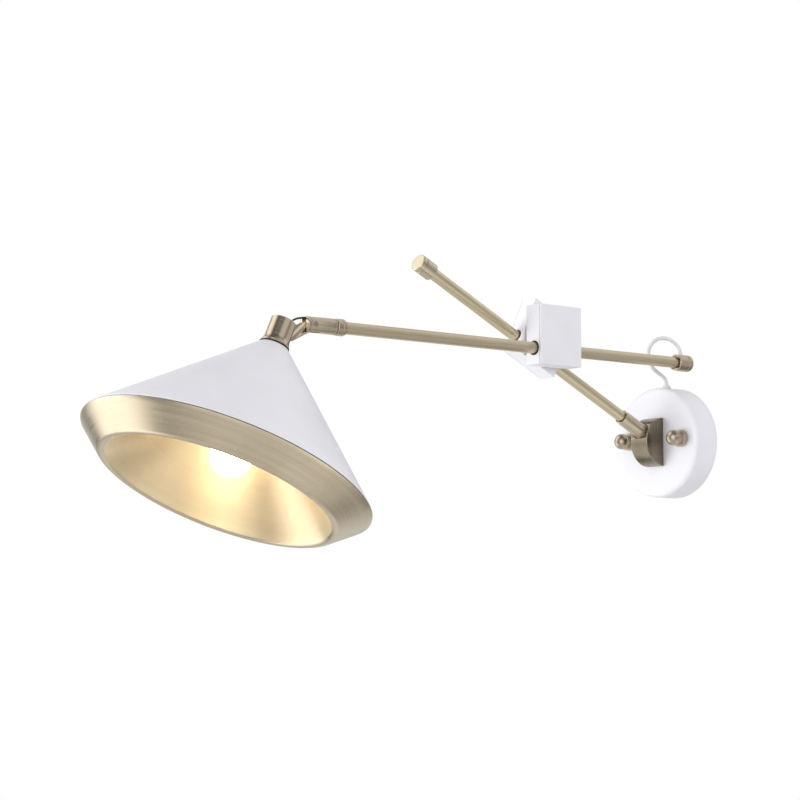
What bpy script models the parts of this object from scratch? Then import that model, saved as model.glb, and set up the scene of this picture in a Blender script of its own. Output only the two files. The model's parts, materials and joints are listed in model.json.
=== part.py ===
"""Swing arm wall sconce: a round canopy, two crossed brass rods held by a pair of sliding square blocks,
and a white cone shade with a brass lip. The wall is the plane Y = 0, the lamp stands out along -Y, Z is up.
The origin is the centre of the mounting bracket's back face. Units are metres."""

from math import asin, atan2, cos, degrees, hypot, pi, radians, sin

import bmesh
import bpy
from mathutils import Matrix, Vector

MM = 0.001
GAP = 0.3 * MM
MERGE = 0.02 * MM

# Driving dimensions: canopy and wall fixing
CANOPY_RADIUS = 50 * MM
CANOPY_DEPTH = 28 * MM
CANOPY_WALL = 1.2 * MM
FINIAL_SPACING = 64 * MM
FINIAL_RISE = 2 * MM              # studs and finials above the middle of the canopy
BRACKET_THICKNESS = 2.5 * MM

# Rods and what sits on them
ROD_RADIUS = 5 * MM
ROD_WALL = 1 * MM
ROD_A_ANGLE = radians(25.5)
ROD_A_START = 7.6 * MM
ROD_A_END = 318 * MM
CAP_RADIUS = 7.5 * MM
CAP_LENGTH = 17 * MM
SLEEVE_RADIUS = 6.5 * MM
SLEEVE_LENGTH = 30 * MM

# Half-round block on the canopy, at the foot of rod A
KNUCKLE_RADIUS = 22 * MM
KNUCKLE_WIDTH = 20 * MM

# The two square blocks
BLOCK_LENGTH = 49 * MM
BLOCK_HEIGHT = 52 * MM
BLOCK_THICKNESS = 18 * MM
BLOCK_SPACE = 2 * MM
COVER_THICKNESS = 1.8 * MM
ROD_OFFSET = 11.7 * MM
BLOCK_DISTANCE = 169.5 * MM

# Rod B, measured from the wall
ROD_B_CAP_END = 5.5 * MM
SLEEVE_START = 421.5 * MM
SLEEVE_BORE = 14 * MM
HINGE_INSET = 7 * MM

# Shade: radii, and heights above the rim along the shade's own axis
SHADE_TILT = radians(25)
SHADE_RIM_RADIUS = 118 * MM
SHADE_NECK_RADIUS = 12.2 * MM
SHADE_HEIGHT = 106.5 * MM
SHEET = 0.9 * MM
RIM_BELOW_HINGE = 140.8 * MM
AXIS_OFFSET = 24.8 * MM
LIP_DROP = 20 * MM
LIP_ROLL = 5 * MM
LIP_RADIUS = 95 * MM
LIP_FLANGE = 2 * MM

# Cables
CORD_RADIUS = 1.75 * MM
LEAD_RADIUS = 0.8 * MM
LEAD_HEIGHT = 2.2 * MM
GLAND_Y = -12.5 * MM
CORD_HOLE_ANGLE = radians(105)
CORD_HOLE_INSET = 7.7 * MM

# Fasteners
STUD_RADIUS = 2 * MM
NIPPLE_RADIUS = 5 * MM
NIPPLE_BORE = 3.5 * MM
PIVOT_RADIUS = 2.5 * MM
PIN_RADIUS = 2 * MM
PIVOT_POCKET = 6.5 * MM
SCREW_HOLE = 1.5 * MM

# Derived places
CANOPY_FACE = CANOPY_DEPTH
KNUCKLE_CENTRE = Vector((0, -CANOPY_FACE - GAP, 0))
ROD_A_AXIS = Vector((0, -cos(ROD_A_ANGLE), sin(ROD_A_ANGLE)))
BLOCK_UP = Vector((0, sin(ROD_A_ANGLE), cos(ROD_A_ANGLE)))
PIVOT = KNUCKLE_CENTRE + ROD_A_AXIS * BLOCK_DISTANCE + BLOCK_UP * ROD_OFFSET
ROD_B_X = BLOCK_THICKNESS + BLOCK_SPACE
ROD_B_Z = PIVOT.z - ROD_OFFSET
HINGE = Vector((ROD_B_X, -(SLEEVE_START + SLEEVE_LENGTH - HINGE_INSET), ROD_B_Z))

# Sides of a turned part: a rod, a small fastener, and the shade or the canopy
ROUND = 24
SMALL_ROUND = 16
SHADE_ROUND = 48

for old in list(bpy.data.objects):
    bpy.data.objects.remove(old, do_unlink=True)

PARTS = bpy.data.collections.new("swing_arm_wall_sconce")
CUTTERS = bpy.data.collections.new("cutters")
bpy.context.scene.collection.children.link(PARTS)
bpy.context.scene.collection.children.link(CUTTERS)


# ---------------------------------------------------------------- materials

def make_material(name, colour, roughness, metallic):
    material = bpy.data.materials.new(name)
    material.use_nodes = True
    shader = material.node_tree.nodes["Principled BSDF"]
    shader.inputs["Base Color"].default_value = (*colour, 1)
    shader.inputs["Roughness"].default_value = roughness
    shader.inputs["Metallic"].default_value = metallic
    material.diffuse_color = (*colour, 1)
    return material


FINISHES = {
    "white paint": ((0.85, 0.85, 0.88), 0.45, 0.0),
    "antique brass": ((0.42, 0.35, 0.25), 0.35, 1.0),
    "satin brass": ((0.62, 0.53, 0.35), 0.32, 1.0),
    "shade brass": ((0.68, 0.58, 0.38), 0.30, 1.0),
    "zinc steel": ((0.6, 0.6, 0.58), 0.35, 1.0),
    "white cable": ((0.8, 0.8, 0.8), 0.5, 0.0),
    "black plastic": ((0.03, 0.03, 0.03), 0.5, 0.0),
    "cream plastic": ((0.8, 0.77, 0.7), 0.45, 0.0),
    "lamp glass": ((0.95, 0.93, 0.85), 0.1, 0.0),
    "filament": ((1.0, 0.75, 0.35), 0.4, 0.0),
}


# ---------------------------------------------------------------- helpers

def empty(name, place, turn=(0, 0, 0)):
    """An empty at a joint or a frame, turned by Euler angles in radians."""
    guide = bpy.data.objects.new(name, None)
    guide.location = place
    guide.rotation_euler = turn
    guide.empty_display_size = 10 * MM
    PARTS.objects.link(guide)
    return guide


def finish_object(name, mesh, finish, parent, place=(0, 0, 0), turn=(0, 0, 0)):
    """A named part with its own material, placed in its parent's frame."""
    mesh.name = name
    part = bpy.data.objects.new(name, mesh)
    mesh.materials.clear()
    mesh.materials.append(make_material(name, *FINISHES[finish]))
    mesh.shade_smooth()
    mesh.set_sharp_from_angle(angle=radians(35))
    part.parent = parent
    part.location = place
    part.rotation_euler = turn
    PARTS.objects.link(part)
    return part


def profile_mesh(points, closed):
    """Edges through (radius, height) points in the XZ plane, ready for Screw."""
    mesh = bpy.data.meshes.new("profile")
    shape = bmesh.new()
    corners = [shape.verts.new((radius, 0, height)) for radius, height in points]
    for first, second in zip(corners, corners[1:]):
        shape.edges.new((first, second))
    if closed:
        shape.edges.new((corners[-1], corners[0]))
    shape.to_mesh(mesh)
    shape.free()
    return mesh


def spin(part, steps):
    screw = part.modifiers.new("spin", "SCREW")
    screw.axis = "Z"
    screw.steps = steps
    screw.render_steps = steps
    screw.use_merge_vertices = True
    screw.merge_threshold = MERGE
    screw.use_smooth_shade = True
    return screw


def turned(name, points, finish, parent, place=(0, 0, 0), turn=(0, 0, 0), steps=ROUND, closed=False):
    """A turned part about its frame's Z. The profile runs down the outer side, from top to bottom.
    An open profile starts and ends on the axis, and a closed one makes a ring or a tube."""
    part = finish_object(name, profile_mesh(points, closed), finish, parent, place, turn)
    spin(part, steps)
    return part


def tube_profile(outer, inner, low, high, chamfer=0.0):
    """Closed profile of a tube from low to high, with a chamfer on its outer edges."""
    return [
        (outer - chamfer, high),
        (outer, high - chamfer),
        (outer, low + chamfer),
        (outer - chamfer, low),
        (inner, low),
        (inner, high),
    ] if chamfer else [(outer, high), (outer, low), (inner, low), (inner, high)]


def arc(centre_r, centre_h, radius, start, end, count):
    """Points on an arc in the profile plane, angles in degrees from the outward direction."""
    angles = [radians(start + (end - start) * i / count) for i in range(count + 1)]
    return [(centre_r + radius * cos(a), centre_h + radius * sin(a)) for a in angles]


def block_mesh(size, centre=(0, 0, 0)):
    mesh = bpy.data.meshes.new("block")
    shape = bmesh.new()
    scale = Matrix.Diagonal((*size, 1))
    bmesh.ops.create_cube(shape, size=1, matrix=Matrix.Translation(centre) @ scale)
    shape.to_mesh(mesh)
    shape.free()
    return mesh


def cylinder_mesh(radius, length, steps=ROUND, centre=(0, 0, 0), axis="Z"):
    """A cylinder centred on a point, along X, Y or Z."""
    turns = {"X": Matrix.Rotation(pi / 2, 4, "Y"), "Y": Matrix.Rotation(pi / 2, 4, "X"), "Z": Matrix()}
    mesh = bpy.data.meshes.new("cylinder")
    shape = bmesh.new()
    bmesh.ops.create_cone(
        shape, cap_ends=True, segments=steps, radius1=radius, radius2=radius, depth=length,
        matrix=Matrix.Translation(centre) @ turns[axis],
    )
    shape.to_mesh(mesh)
    shape.free()
    return mesh


def bevel(part, width, segments=2):
    edge = part.modifiers.new("edges", "BEVEL")
    edge.width = width
    edge.segments = segments
    edge.limit_method = "ANGLE"
    edge.angle_limit = radians(40)


def cut(part, mesh, parent=None, place=(0, 0, 0), turn=(0, 0, 0)):
    """Subtract a mesh from a part. The cutter sits in the part's own frame unless it is given another."""
    cutter = bpy.data.objects.new("cut_" + part.name, mesh)
    cutter.parent = parent or part.parent
    cutter.location = Vector(place) if parent else part.location + Vector(place)
    cutter.rotation_euler = turn if parent else part.rotation_euler
    cutter.hide_render = True
    cutter.display_type = "WIRE"
    CUTTERS.objects.link(cutter)
    boolean = part.modifiers.new("cut", "BOOLEAN")
    boolean.operation = "DIFFERENCE"
    boolean.object = cutter


def hex_nut(name, across_flats, height, bore, finish, parent, place, turn=(0, 0, 0)):
    """A hexagon nut along its frame's Z."""
    corner_radius = across_flats / 2 / cos(pi / 6)
    nut = finish_object(
        name, cylinder_mesh(corner_radius, height, 6, (0, 0, height / 2)), finish, parent, place, turn
    )
    bevel(nut, 0.3 * MM, 1)
    cut(nut, cylinder_mesh(bore, height * 3, SMALL_ROUND))
    return nut


def smooth_route(points, spacing):
    """Points along a smooth curve through a route, a set distance apart."""
    route = [Vector(p) for p in points]
    ends = [2 * route[0] - route[1]] + route + [2 * route[-1] - route[-2]]
    samples = []
    for p0, p1, p2, p3 in zip(ends, ends[1:], ends[2:], ends[3:]):
        for step in range(16):
            t = step / 16
            samples.append(0.5 * (
                2 * p1 + (p2 - p0) * t + (2 * p0 - 5 * p1 + 4 * p2 - p3) * t**2
                + (3 * p1 - p0 - 3 * p2 + p3) * t**3
            ))
    samples.append(route[-1])
    lengths = [0.0]
    for a, b in zip(samples, samples[1:]):
        lengths.append(lengths[-1] + (b - a).length)
    count = max(2, round(lengths[-1] / spacing))
    chosen = []
    for i in range(count + 1):
        wanted = lengths[-1] * i / count
        k = max(j for j in range(len(samples) - 1) if lengths[j] <= wanted + 1e-9)
        share = (wanted - lengths[k]) / (lengths[k + 1] - lengths[k])
        chosen.append(samples[k].lerp(samples[k + 1], share))
    return chosen


def wire(name, points, radius, finish, parent=None):
    """A round cable through the points, as a bevelled curve with filled ends."""
    curve = bpy.data.curves.new(name, "CURVE")
    curve.dimensions = "3D"
    curve.bevel_depth = radius
    curve.bevel_resolution = 2
    curve.use_fill_caps = True
    spline = curve.splines.new("POLY")
    spline.points.add(len(points) - 1)
    for place, point in zip(points, spline.points):
        point.co = (*place, 1)
    curve.materials.append(make_material(name, *FINISHES[finish]))
    cable = bpy.data.objects.new(name, curve)
    cable.parent = parent
    PARTS.objects.link(cable)
    return cable


def mesh_from_outline(outline, thickness):
    """A flat outline in the XY plane, extruded to both sides, as a closed mesh."""
    curve = bpy.data.curves.new("outline", "CURVE")
    curve.dimensions = "2D"
    curve.fill_mode = "BOTH"
    curve.extrude = thickness / 2
    spline = curve.splines.new("POLY")
    spline.points.add(len(outline) - 1)
    spline.use_cyclic_u = True
    for place, point in zip(outline, spline.points):
        point.co = (*place, 0, 1)
    flat = bpy.data.objects.new("outline", curve)
    PARTS.objects.link(flat)
    graph = bpy.context.evaluated_depsgraph_get()
    mesh = bpy.data.meshes.new_from_object(flat.evaluated_get(graph))
    bpy.data.objects.remove(flat, do_unlink=True)
    shape = bmesh.new()
    shape.from_mesh(mesh)
    bmesh.ops.remove_doubles(shape, verts=shape.verts, dist=MERGE)
    bmesh.ops.recalc_face_normals(shape, faces=shape.faces)
    shape.to_mesh(mesh)
    shape.free()
    return mesh


# ---------------------------------------------------------------- frames and joint axes

OUTWARD = (pi / 2, 0, 0)
wall = empty("wall_frame", (0, 0, 0), OUTWARD)
arm_axis = empty("wall_swivel_axis", KNUCKLE_CENTRE, OUTWARD)
rod_a_frame = empty("rod_a_frame", KNUCKLE_CENTRE, (pi / 2 - ROD_A_ANGLE, 0, 0))
rear_frame = empty("block_pivot_rear", PIVOT, (-ROD_A_ANGLE, 0, 0))
front_frame = empty("block_pivot_front", PIVOT + Vector((ROD_B_X, 0, 0)))
rod_b_frame = empty("rod_b_frame", (ROD_B_X, -ROD_B_CAP_END, ROD_B_Z), OUTWARD)
head_frame = empty("head_roll_axis", (ROD_B_X, -SLEEVE_START, ROD_B_Z), OUTWARD)
shade_frame = empty("shade_tilt_axis", HINGE, (-SHADE_TILT, 0, 0))
SHADE_AXIS = (0, -AXIS_OFFSET, 0)


# ---------------------------------------------------------------- wall fixing and canopy

EARTH_PLACE = (9 * MM, 6.5 * MM, 0)
EARTH_SHAFT = 1.3 * MM
GLAND_BODY = 3 * MM

def mounting_bracket():
    """Flat strip on the wall, with two slots for wall screws and holes for the studs and the earth screw."""
    length = 90 * MM
    height = 22 * MM
    slot_length = 9 * MM
    slot_width = 4.6 * MM
    slot_x = 19 * MM
    through = 20 * MM
    mesh = block_mesh((length, height, BRACKET_THICKNESS), (0, 0, BRACKET_THICKNESS / 2))
    bracket = finish_object("mounting_bracket", mesh, "zinc steel", wall)
    bevel(bracket, 0.4 * MM, 1)
    for side in (-1, 1):
        cut(bracket, block_mesh((slot_length, slot_width, through), (side * slot_x, 0, 0)))
        stud_place = (side * FINIAL_SPACING / 2, FINIAL_RISE, 0)
        cut(bracket, cylinder_mesh(STUD_RADIUS + GAP, through, SMALL_ROUND, stud_place))
    cut(bracket, cylinder_mesh(EARTH_SHAFT + GAP, through, SMALL_ROUND, EARTH_PLACE))


def studs_and_finials():
    stud_low = 0.6 * MM
    stud_high = CANOPY_FACE + 10 * MM
    nut_height = 3.2 * MM
    collar = 7.7 * MM
    dome = 7.1 * MM
    dome_centre = 10 * MM
    neck = 6.3 * MM
    groove_low = 4.5 * MM
    groove_high = 5.6 * MM
    bore_depth = 11 * MM
    for label, side in (("left", -1), ("right", 1)):
        x = side * FINIAL_SPACING / 2
        stud = [(0, stud_high), (STUD_RADIUS, stud_high), (STUD_RADIUS, stud_low), (0, stud_low)]
        turned("stud_" + label, stud, "zinc steel", wall, (x, FINIAL_RISE, 0), steps=SMALL_ROUND)
        hex_nut(
            "stud_nut_" + label, 7 * MM, nut_height, STUD_RADIUS + GAP, "zinc steel", wall,
            (x, FINIAL_RISE, BRACKET_THICKNESS + GAP),
        )
        nose = arc(0, dome_centre, dome, 90, -42, 6)
        finial = nose + [
            (neck, groove_high - 0.3 * MM),
            (neck, groove_low + 0.2 * MM),
            (collar - 0.4 * MM, groove_low),
            (collar, groove_low - 0.4 * MM),
            (collar, 0.4 * MM),
            (collar - 0.4 * MM, 0),
            (STUD_RADIUS + GAP, 0),
            (STUD_RADIUS + GAP, bore_depth),
            (0, bore_depth),
        ]
        place = (x, FINIAL_RISE, CANOPY_FACE + GAP)
        turned("finial_nut_" + label, finial, "antique brass", wall, place, steps=SMALL_ROUND)


def canopy():
    rim_height = 0.5 * MM
    edge = 4 * MM
    inner = CANOPY_RADIUS - CANOPY_WALL
    roof = CANOPY_FACE - CANOPY_WALL
    outside = [(0, CANOPY_FACE)] + arc(CANOPY_RADIUS - edge, CANOPY_FACE - edge, edge, 90, 0, 4)
    inside = arc(CANOPY_RADIUS - edge, CANOPY_FACE - edge, edge - CANOPY_WALL, 0, 90, 3)
    profile = outside + [(CANOPY_RADIUS, rim_height), (inner, rim_height)] + inside + [(0, roof)]
    drum = turned("canopy", profile, "white paint", wall, steps=SHADE_ROUND)
    for x in (-FINIAL_SPACING / 2, FINIAL_SPACING / 2):
        stud_hole = (x, FINIAL_RISE, CANOPY_FACE)
        cut(drum, cylinder_mesh(STUD_RADIUS + GAP, 12 * MM, SMALL_ROUND, stud_hole))
    cut(drum, cylinder_mesh(NIPPLE_RADIUS + GAP, 12 * MM, SMALL_ROUND, (0, 0, CANOPY_FACE)))
    gland_hole = (0, CANOPY_RADIUS, -GLAND_Y)
    cut(drum, cylinder_mesh(GLAND_BODY + GAP, 12 * MM, SMALL_ROUND, gland_hole, "Y"))


def earth_screw():
    head = 3 * MM
    seat = BRACKET_THICKNESS + GAP
    tip = 0.6 * MM
    profile = [
        (0, seat + 2 * MM), (head * 0.7, seat + 1.8 * MM), (head, seat + 0.8 * MM), (head, seat),
        (EARTH_SHAFT, seat), (EARTH_SHAFT, tip), (0, tip),
    ]
    turned("earth_screw", profile, "zinc steel", wall, EARTH_PLACE, steps=SMALL_ROUND)


def terminal_block():
    """Three-way block, with a blind screw well over each way."""
    size = (28 * MM, 9 * MM, 11 * MM)
    centre = (0, 20.5 * MM, 13 * MM)
    pitch = 9 * MM
    well_radius = 2.2 * MM
    block = finish_object("terminal_block", block_mesh(size), "cream plastic", wall, centre)
    bevel(block, 0.6 * MM, 1)
    for x in (-pitch, 0, pitch):
        cut(block, cylinder_mesh(well_radius, 6 * MM, SMALL_ROUND, (x, 0, size[2] / 2)))


def cable_gland():
    """Grommet in the canopy's round side, with a flange on each face of the sheet."""
    seat = CANOPY_RADIUS + GAP
    nose = seat + 3 * MM
    inner_seat = 48.1 * MM
    inner_end = 45.5 * MM
    bore = CORD_RADIUS + GAP
    flange = 4.2 * MM
    profile = [
        (2.7 * MM, nose), (3.3 * MM, nose - 0.6 * MM), (3.6 * MM, seat + 1 * MM), (flange, seat + 0.8 * MM),
        (flange, seat), (GLAND_BODY, seat), (GLAND_BODY, inner_seat), (flange, inner_seat),
        (flange, inner_end), (bore, inner_end), (bore, nose),
    ]
    frame = empty("gland_frame", (0, GLAND_Y, 0))
    turned("cable_gland", profile, "white cable", frame, steps=SMALL_ROUND, closed=True)


def canopy_lead():
    """The inner end of the cable, from the gland to the terminal block."""
    top = Vector((0, GLAND_Y, 47.3 * MM))
    bottom = Vector((0, -14.5 * MM, 25.4 * MM))
    middle = Vector((0, -15 * MM, 34 * MM))
    route = [top, top - Vector((0, 0, 6 * MM)), middle, bottom]
    wire("canopy_lead", smooth_route(route, 7 * MM), CORD_RADIUS, "white cable")


def supply_cord():
    """The free loop of cable from the gland over rod B and into the hole in rod B's cap."""
    route = [
        (0, -12.5, 47.6), (0, -12.5, 50.8), (0, -12.6, 54), (0.2, -14.8, 58.6), (0.6, -19.6, 61.6),
        (1.1, -26, 64.2), (1.8, -32.8, 68), (2.8, -38, 73), (4, -40.8, 79), (5.2, -40.6, 84.8),
        (6.4, -37.4, 90), (7.8, -31.6, 93.6), (9.5, -25, 94.8), (11.5, -18.2, 93.2), (13.6, -13.6, 89.4),
        (15.6, -11.8, 84.8), (17.2, -12.2, 81.2), (18.2, -13, 78.6), (18.65, -13.2, 76.85),
    ]
    points = [Vector(p) * MM for p in route]
    wire("supply_cord", smooth_route(points, 5 * MM), CORD_RADIUS, "white cable")


# ---------------------------------------------------------------- wall knuckle and rod A

def wall_knuckle():
    """Half disc with its flat side on the canopy, bored for the nipple and for rod A and its collar."""
    steps = 26
    seat_radius = 7.1 * MM
    seat_floor = 20.5 * MM
    angles = [pi * i / steps for i in range(steps + 1)]
    outline = [(KNUCKLE_RADIUS * sin(a), KNUCKLE_RADIUS * cos(a)) for a in angles]
    mesh = mesh_from_outline(outline, KNUCKLE_WIDTH)
    mesh.transform(Matrix.Rotation(-pi / 2, 4, "Y"))
    knuckle = finish_object("wall_knuckle", mesh, "antique brass", arm_axis)
    bevel(knuckle, 0.5 * MM, 2)
    cut(knuckle, cylinder_mesh(NIPPLE_RADIUS + GAP, 22 * MM, SMALL_ROUND))
    bore_length = 40 * MM
    bore_floor = ROD_A_START - 0.6 * MM
    bore = cylinder_mesh(ROD_RADIUS + GAP, bore_length, ROUND, (0, 0, bore_floor + bore_length / 2))
    cut(knuckle, bore, rod_a_frame)
    seat_length = 20 * MM
    seat = cylinder_mesh(seat_radius, seat_length, ROUND, (0, 0, seat_floor + seat_length / 2))
    cut(knuckle, seat, rod_a_frame)


def knuckle_fixings():
    """Hollow nipple into the back of the knuckle, with its washer and nut inside the canopy."""
    inside = -CANOPY_WALL - GAP * 2
    washer = 1.2 * MM
    nipple = tube_profile(NIPPLE_RADIUS, NIPPLE_BORE, -9 * MM, 6.5 * MM, 0.4 * MM)
    turned("knuckle_nipple", nipple, "zinc steel", arm_axis, steps=SMALL_ROUND, closed=True)
    ring = tube_profile(9 * MM, NIPPLE_RADIUS + GAP, inside - washer, inside)
    turned("knuckle_washer", ring, "zinc steel", arm_axis, steps=SMALL_ROUND, closed=True)
    nut_height = 3 * MM
    hex_nut(
        "knuckle_nut", 14 * MM, nut_height, NIPPLE_RADIUS + GAP, "zinc steel", arm_axis,
        (0, 0, inside - washer - GAP - nut_height),
    )


def arm_collar():
    low = 20.8 * MM
    high = 49 * MM
    outer = 6.75 * MM
    bore = ROD_RADIUS + GAP
    recess = 6.1 * MM
    profile = [
        (outer - 0.4 * MM, high), (outer, high - 0.4 * MM), (outer, low + 0.4 * MM), (outer - 0.4 * MM, low),
        (bore, low), (bore, high - 1.5 * MM), (recess, high - 1.5 * MM), (recess, high),
    ]
    turned("arm_collar", profile, "satin brass", rod_a_frame, closed=True)


def rod_end_cap(name, finish, frame, end, direction):
    """A cap over a rod's end, with its closed face at end. From there it reaches towards higher Z of its
    frame if direction is +1, and towards lower Z if it is -1."""
    groove = 5 * MM
    wall_end = 2.7 * MM
    bore = ROD_RADIUS + GAP
    recess = 6.3 * MM
    steps = [
        (0, 0), (CAP_RADIUS - 0.8 * MM, 0), (CAP_RADIUS, 0.8 * MM),
        (CAP_RADIUS, groove - 0.6 * MM), (CAP_RADIUS - 0.5 * MM, groove - 0.4 * MM),
        (CAP_RADIUS - 0.5 * MM, groove + 0.4 * MM), (CAP_RADIUS, groove + 0.6 * MM),
        (CAP_RADIUS, CAP_LENGTH - 0.7 * MM), (CAP_RADIUS - 0.7 * MM, CAP_LENGTH),
        (recess, CAP_LENGTH), (recess, CAP_LENGTH - 1.6 * MM), (bore, CAP_LENGTH - 1.6 * MM),
        (bore, wall_end), (0, wall_end),
    ]
    profile = [(radius, end + direction * depth) for radius, depth in steps]
    if direction > 0:
        profile.reverse()
    return turned(name, profile, finish, frame)


def rod_a():
    inner = ROD_RADIUS - ROD_WALL
    profile = tube_profile(ROD_RADIUS, inner, ROD_A_START, ROD_A_END - 4 * MM)
    turned("rod_a", profile, "satin brass", rod_a_frame, closed=True)
    rod_end_cap("rod_a_end_cap", "satin brass", rod_a_frame, ROD_A_END, -1)


# ---------------------------------------------------------------- the two blocks

def slider(prefix, frame, outer_side):
    """One square block with its cover plate and its bush. The cover's side along X is outer_side, +1 or -1,
    and the rod runs along the frame's Y, below the pivot."""
    half = BLOCK_THICKNESS / 2
    body_thickness = BLOCK_THICKNESS - COVER_THICKNESS - GAP
    body_centre = outer_side * (body_thickness / 2 - half)
    body_mesh = block_mesh((body_thickness, BLOCK_LENGTH, BLOCK_HEIGHT), (body_centre, 0, 0))
    body = finish_object(prefix + "_block", body_mesh, "white paint", frame)
    bevel(body, 0.9 * MM, 2)
    bush_outer = 5.95 * MM
    rod_place = (0, 0, -ROD_OFFSET)
    cut(body, cylinder_mesh(bush_outer + GAP, 80 * MM, ROUND, rod_place, "Y"))
    cut(body, cylinder_mesh(PIVOT_RADIUS + GAP, 40 * MM, SMALL_ROUND, (0, 0, 0), "X"))
    pocket_radius = 4.6 * MM
    pocket_length = 20 * MM
    pocket_centre = outer_side * (half - COVER_THICKNESS - GAP - PIVOT_POCKET + pocket_length / 2)
    cut(body, cylinder_mesh(pocket_radius, pocket_length, SMALL_ROUND, (pocket_centre, 0, 0), "X"))
    cover_centre = outer_side * (half - COVER_THICKNESS / 2)
    cover_mesh = block_mesh((COVER_THICKNESS, BLOCK_LENGTH, BLOCK_HEIGHT), (cover_centre, 0, 0))
    cover = finish_object(prefix + "_cover_plate", cover_mesh, "white paint", frame)
    bevel(cover, 0.7 * MM, 2)
    bush_half = BLOCK_LENGTH / 2 - 0.8 * MM
    bush = tube_profile(bush_outer, ROD_RADIUS + GAP, -bush_half, bush_half)
    turned(prefix + "_bush", bush, "black plastic", frame, rod_place, OUTWARD, closed=True)


def pivot_parts():
    """Bolt through both blocks, its nut and spring washer in the rear pocket, and the disc between them."""
    rear_seat = -ROD_B_X - BLOCK_THICKNESS / 2 + COVER_THICKNESS + GAP + PIVOT_POCKET
    front_seat = BLOCK_THICKNESS / 2 - COVER_THICKNESS - GAP - PIVOT_POCKET
    head_radius = 4.2 * MM
    head_height = 3.4 * MM
    head_top = front_seat + GAP + head_height
    shaft_end = rear_seat - 5.6 * MM
    along_x = (0, pi / 2, 0)
    bolt = [
        (0, head_top), (head_radius, head_top), (head_radius, front_seat + GAP),
        (PIVOT_RADIUS, front_seat + GAP), (PIVOT_RADIUS, shaft_end), (0, shaft_end),
    ]
    head = turned("pivot_bolt", bolt, "zinc steel", front_frame, turn=along_x, steps=SMALL_ROUND)
    cut(head, cylinder_mesh(2 * MM, 4 * MM, 6, (0, 0, head_top)))
    washer = 0.8 * MM
    ring = tube_profile(head_radius, PIVOT_RADIUS + GAP, rear_seat - GAP - washer, rear_seat - GAP)
    turned(
        "pivot_spring_washer", ring, "zinc steel", front_frame, turn=along_x, steps=SMALL_ROUND, closed=True
    )
    nut_height = 3.2 * MM
    hex_nut(
        "pivot_nut", 7.4 * MM, nut_height, PIVOT_RADIUS + GAP, "zinc steel", front_frame,
        (rear_seat - GAP * 2 - washer - nut_height, 0, 0), along_x,
    )
    disc_radius = 11 * MM
    disc_half = BLOCK_SPACE / 2 - GAP
    middle = -ROD_B_X / 2
    disc = tube_profile(disc_radius, PIVOT_RADIUS + GAP, middle - disc_half, middle + disc_half)
    turned("pivot_disc", disc, "black plastic", front_frame, turn=along_x, closed=True)


# ---------------------------------------------------------------- rod B and the fork

def rod_b():
    inner = ROD_RADIUS - ROD_WALL
    sleeve_start = SLEEVE_START - ROD_B_CAP_END
    rod_start = 12.5 * MM
    rod_end = sleeve_start + SLEEVE_BORE - 0.5 * MM
    profile = tube_profile(ROD_RADIUS, inner, rod_start, rod_end)
    turned("rod_b", profile, "antique brass", rod_b_frame, closed=True)
    cap = rod_end_cap("rod_b_end_cap", "antique brass", rod_b_frame, 0, 1)
    cord_hole = cylinder_mesh(CORD_RADIUS + GAP * 2, 8 * MM, SMALL_ROUND, (0, 0, CAP_RADIUS))
    cut(cap, cord_hole, rod_b_frame, (0, 0, CORD_HOLE_INSET), (0, pi / 2, CORD_HOLE_ANGLE))
    ring_length = 10 * MM
    outer = 6.9 * MM
    high = sleeve_start - GAP
    low = high - ring_length
    ring = [
        (outer - 0.3 * MM, high), (outer, high - 0.3 * MM), (outer, low + 1.6 * MM),
        (outer - 0.5 * MM, low + 0.5 * MM), (outer - 1.3 * MM, low),
        (ROD_RADIUS + GAP, low), (ROD_RADIUS + GAP, high),
    ]
    turned("sleeve_ring", ring, "antique brass", rod_b_frame, closed=True)


def rod_lead():
    """The lead inside rod B, from the cap's hole to the sleeve."""
    hole = Vector((ROD_B_X, -ROD_B_CAP_END - CORD_HOLE_INSET, ROD_B_Z))
    way_in = Vector((cos(CORD_HOLE_ANGLE), 0, sin(CORD_HOLE_ANGLE)))
    outward = Vector((0, -1, 0))
    route = [
        hole + way_in * 4.4 * MM,
        hole + way_in * 2.3 * MM + outward * 1 * MM,
        hole + way_in * 0.4 * MM + outward * 4.5 * MM,
        hole + outward * 10 * MM,
        Vector((ROD_B_X, -SLEEVE_START - 12 * MM, ROD_B_Z)),
    ]
    wire("rod_lead", route, CORD_RADIUS, "white cable")


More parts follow.
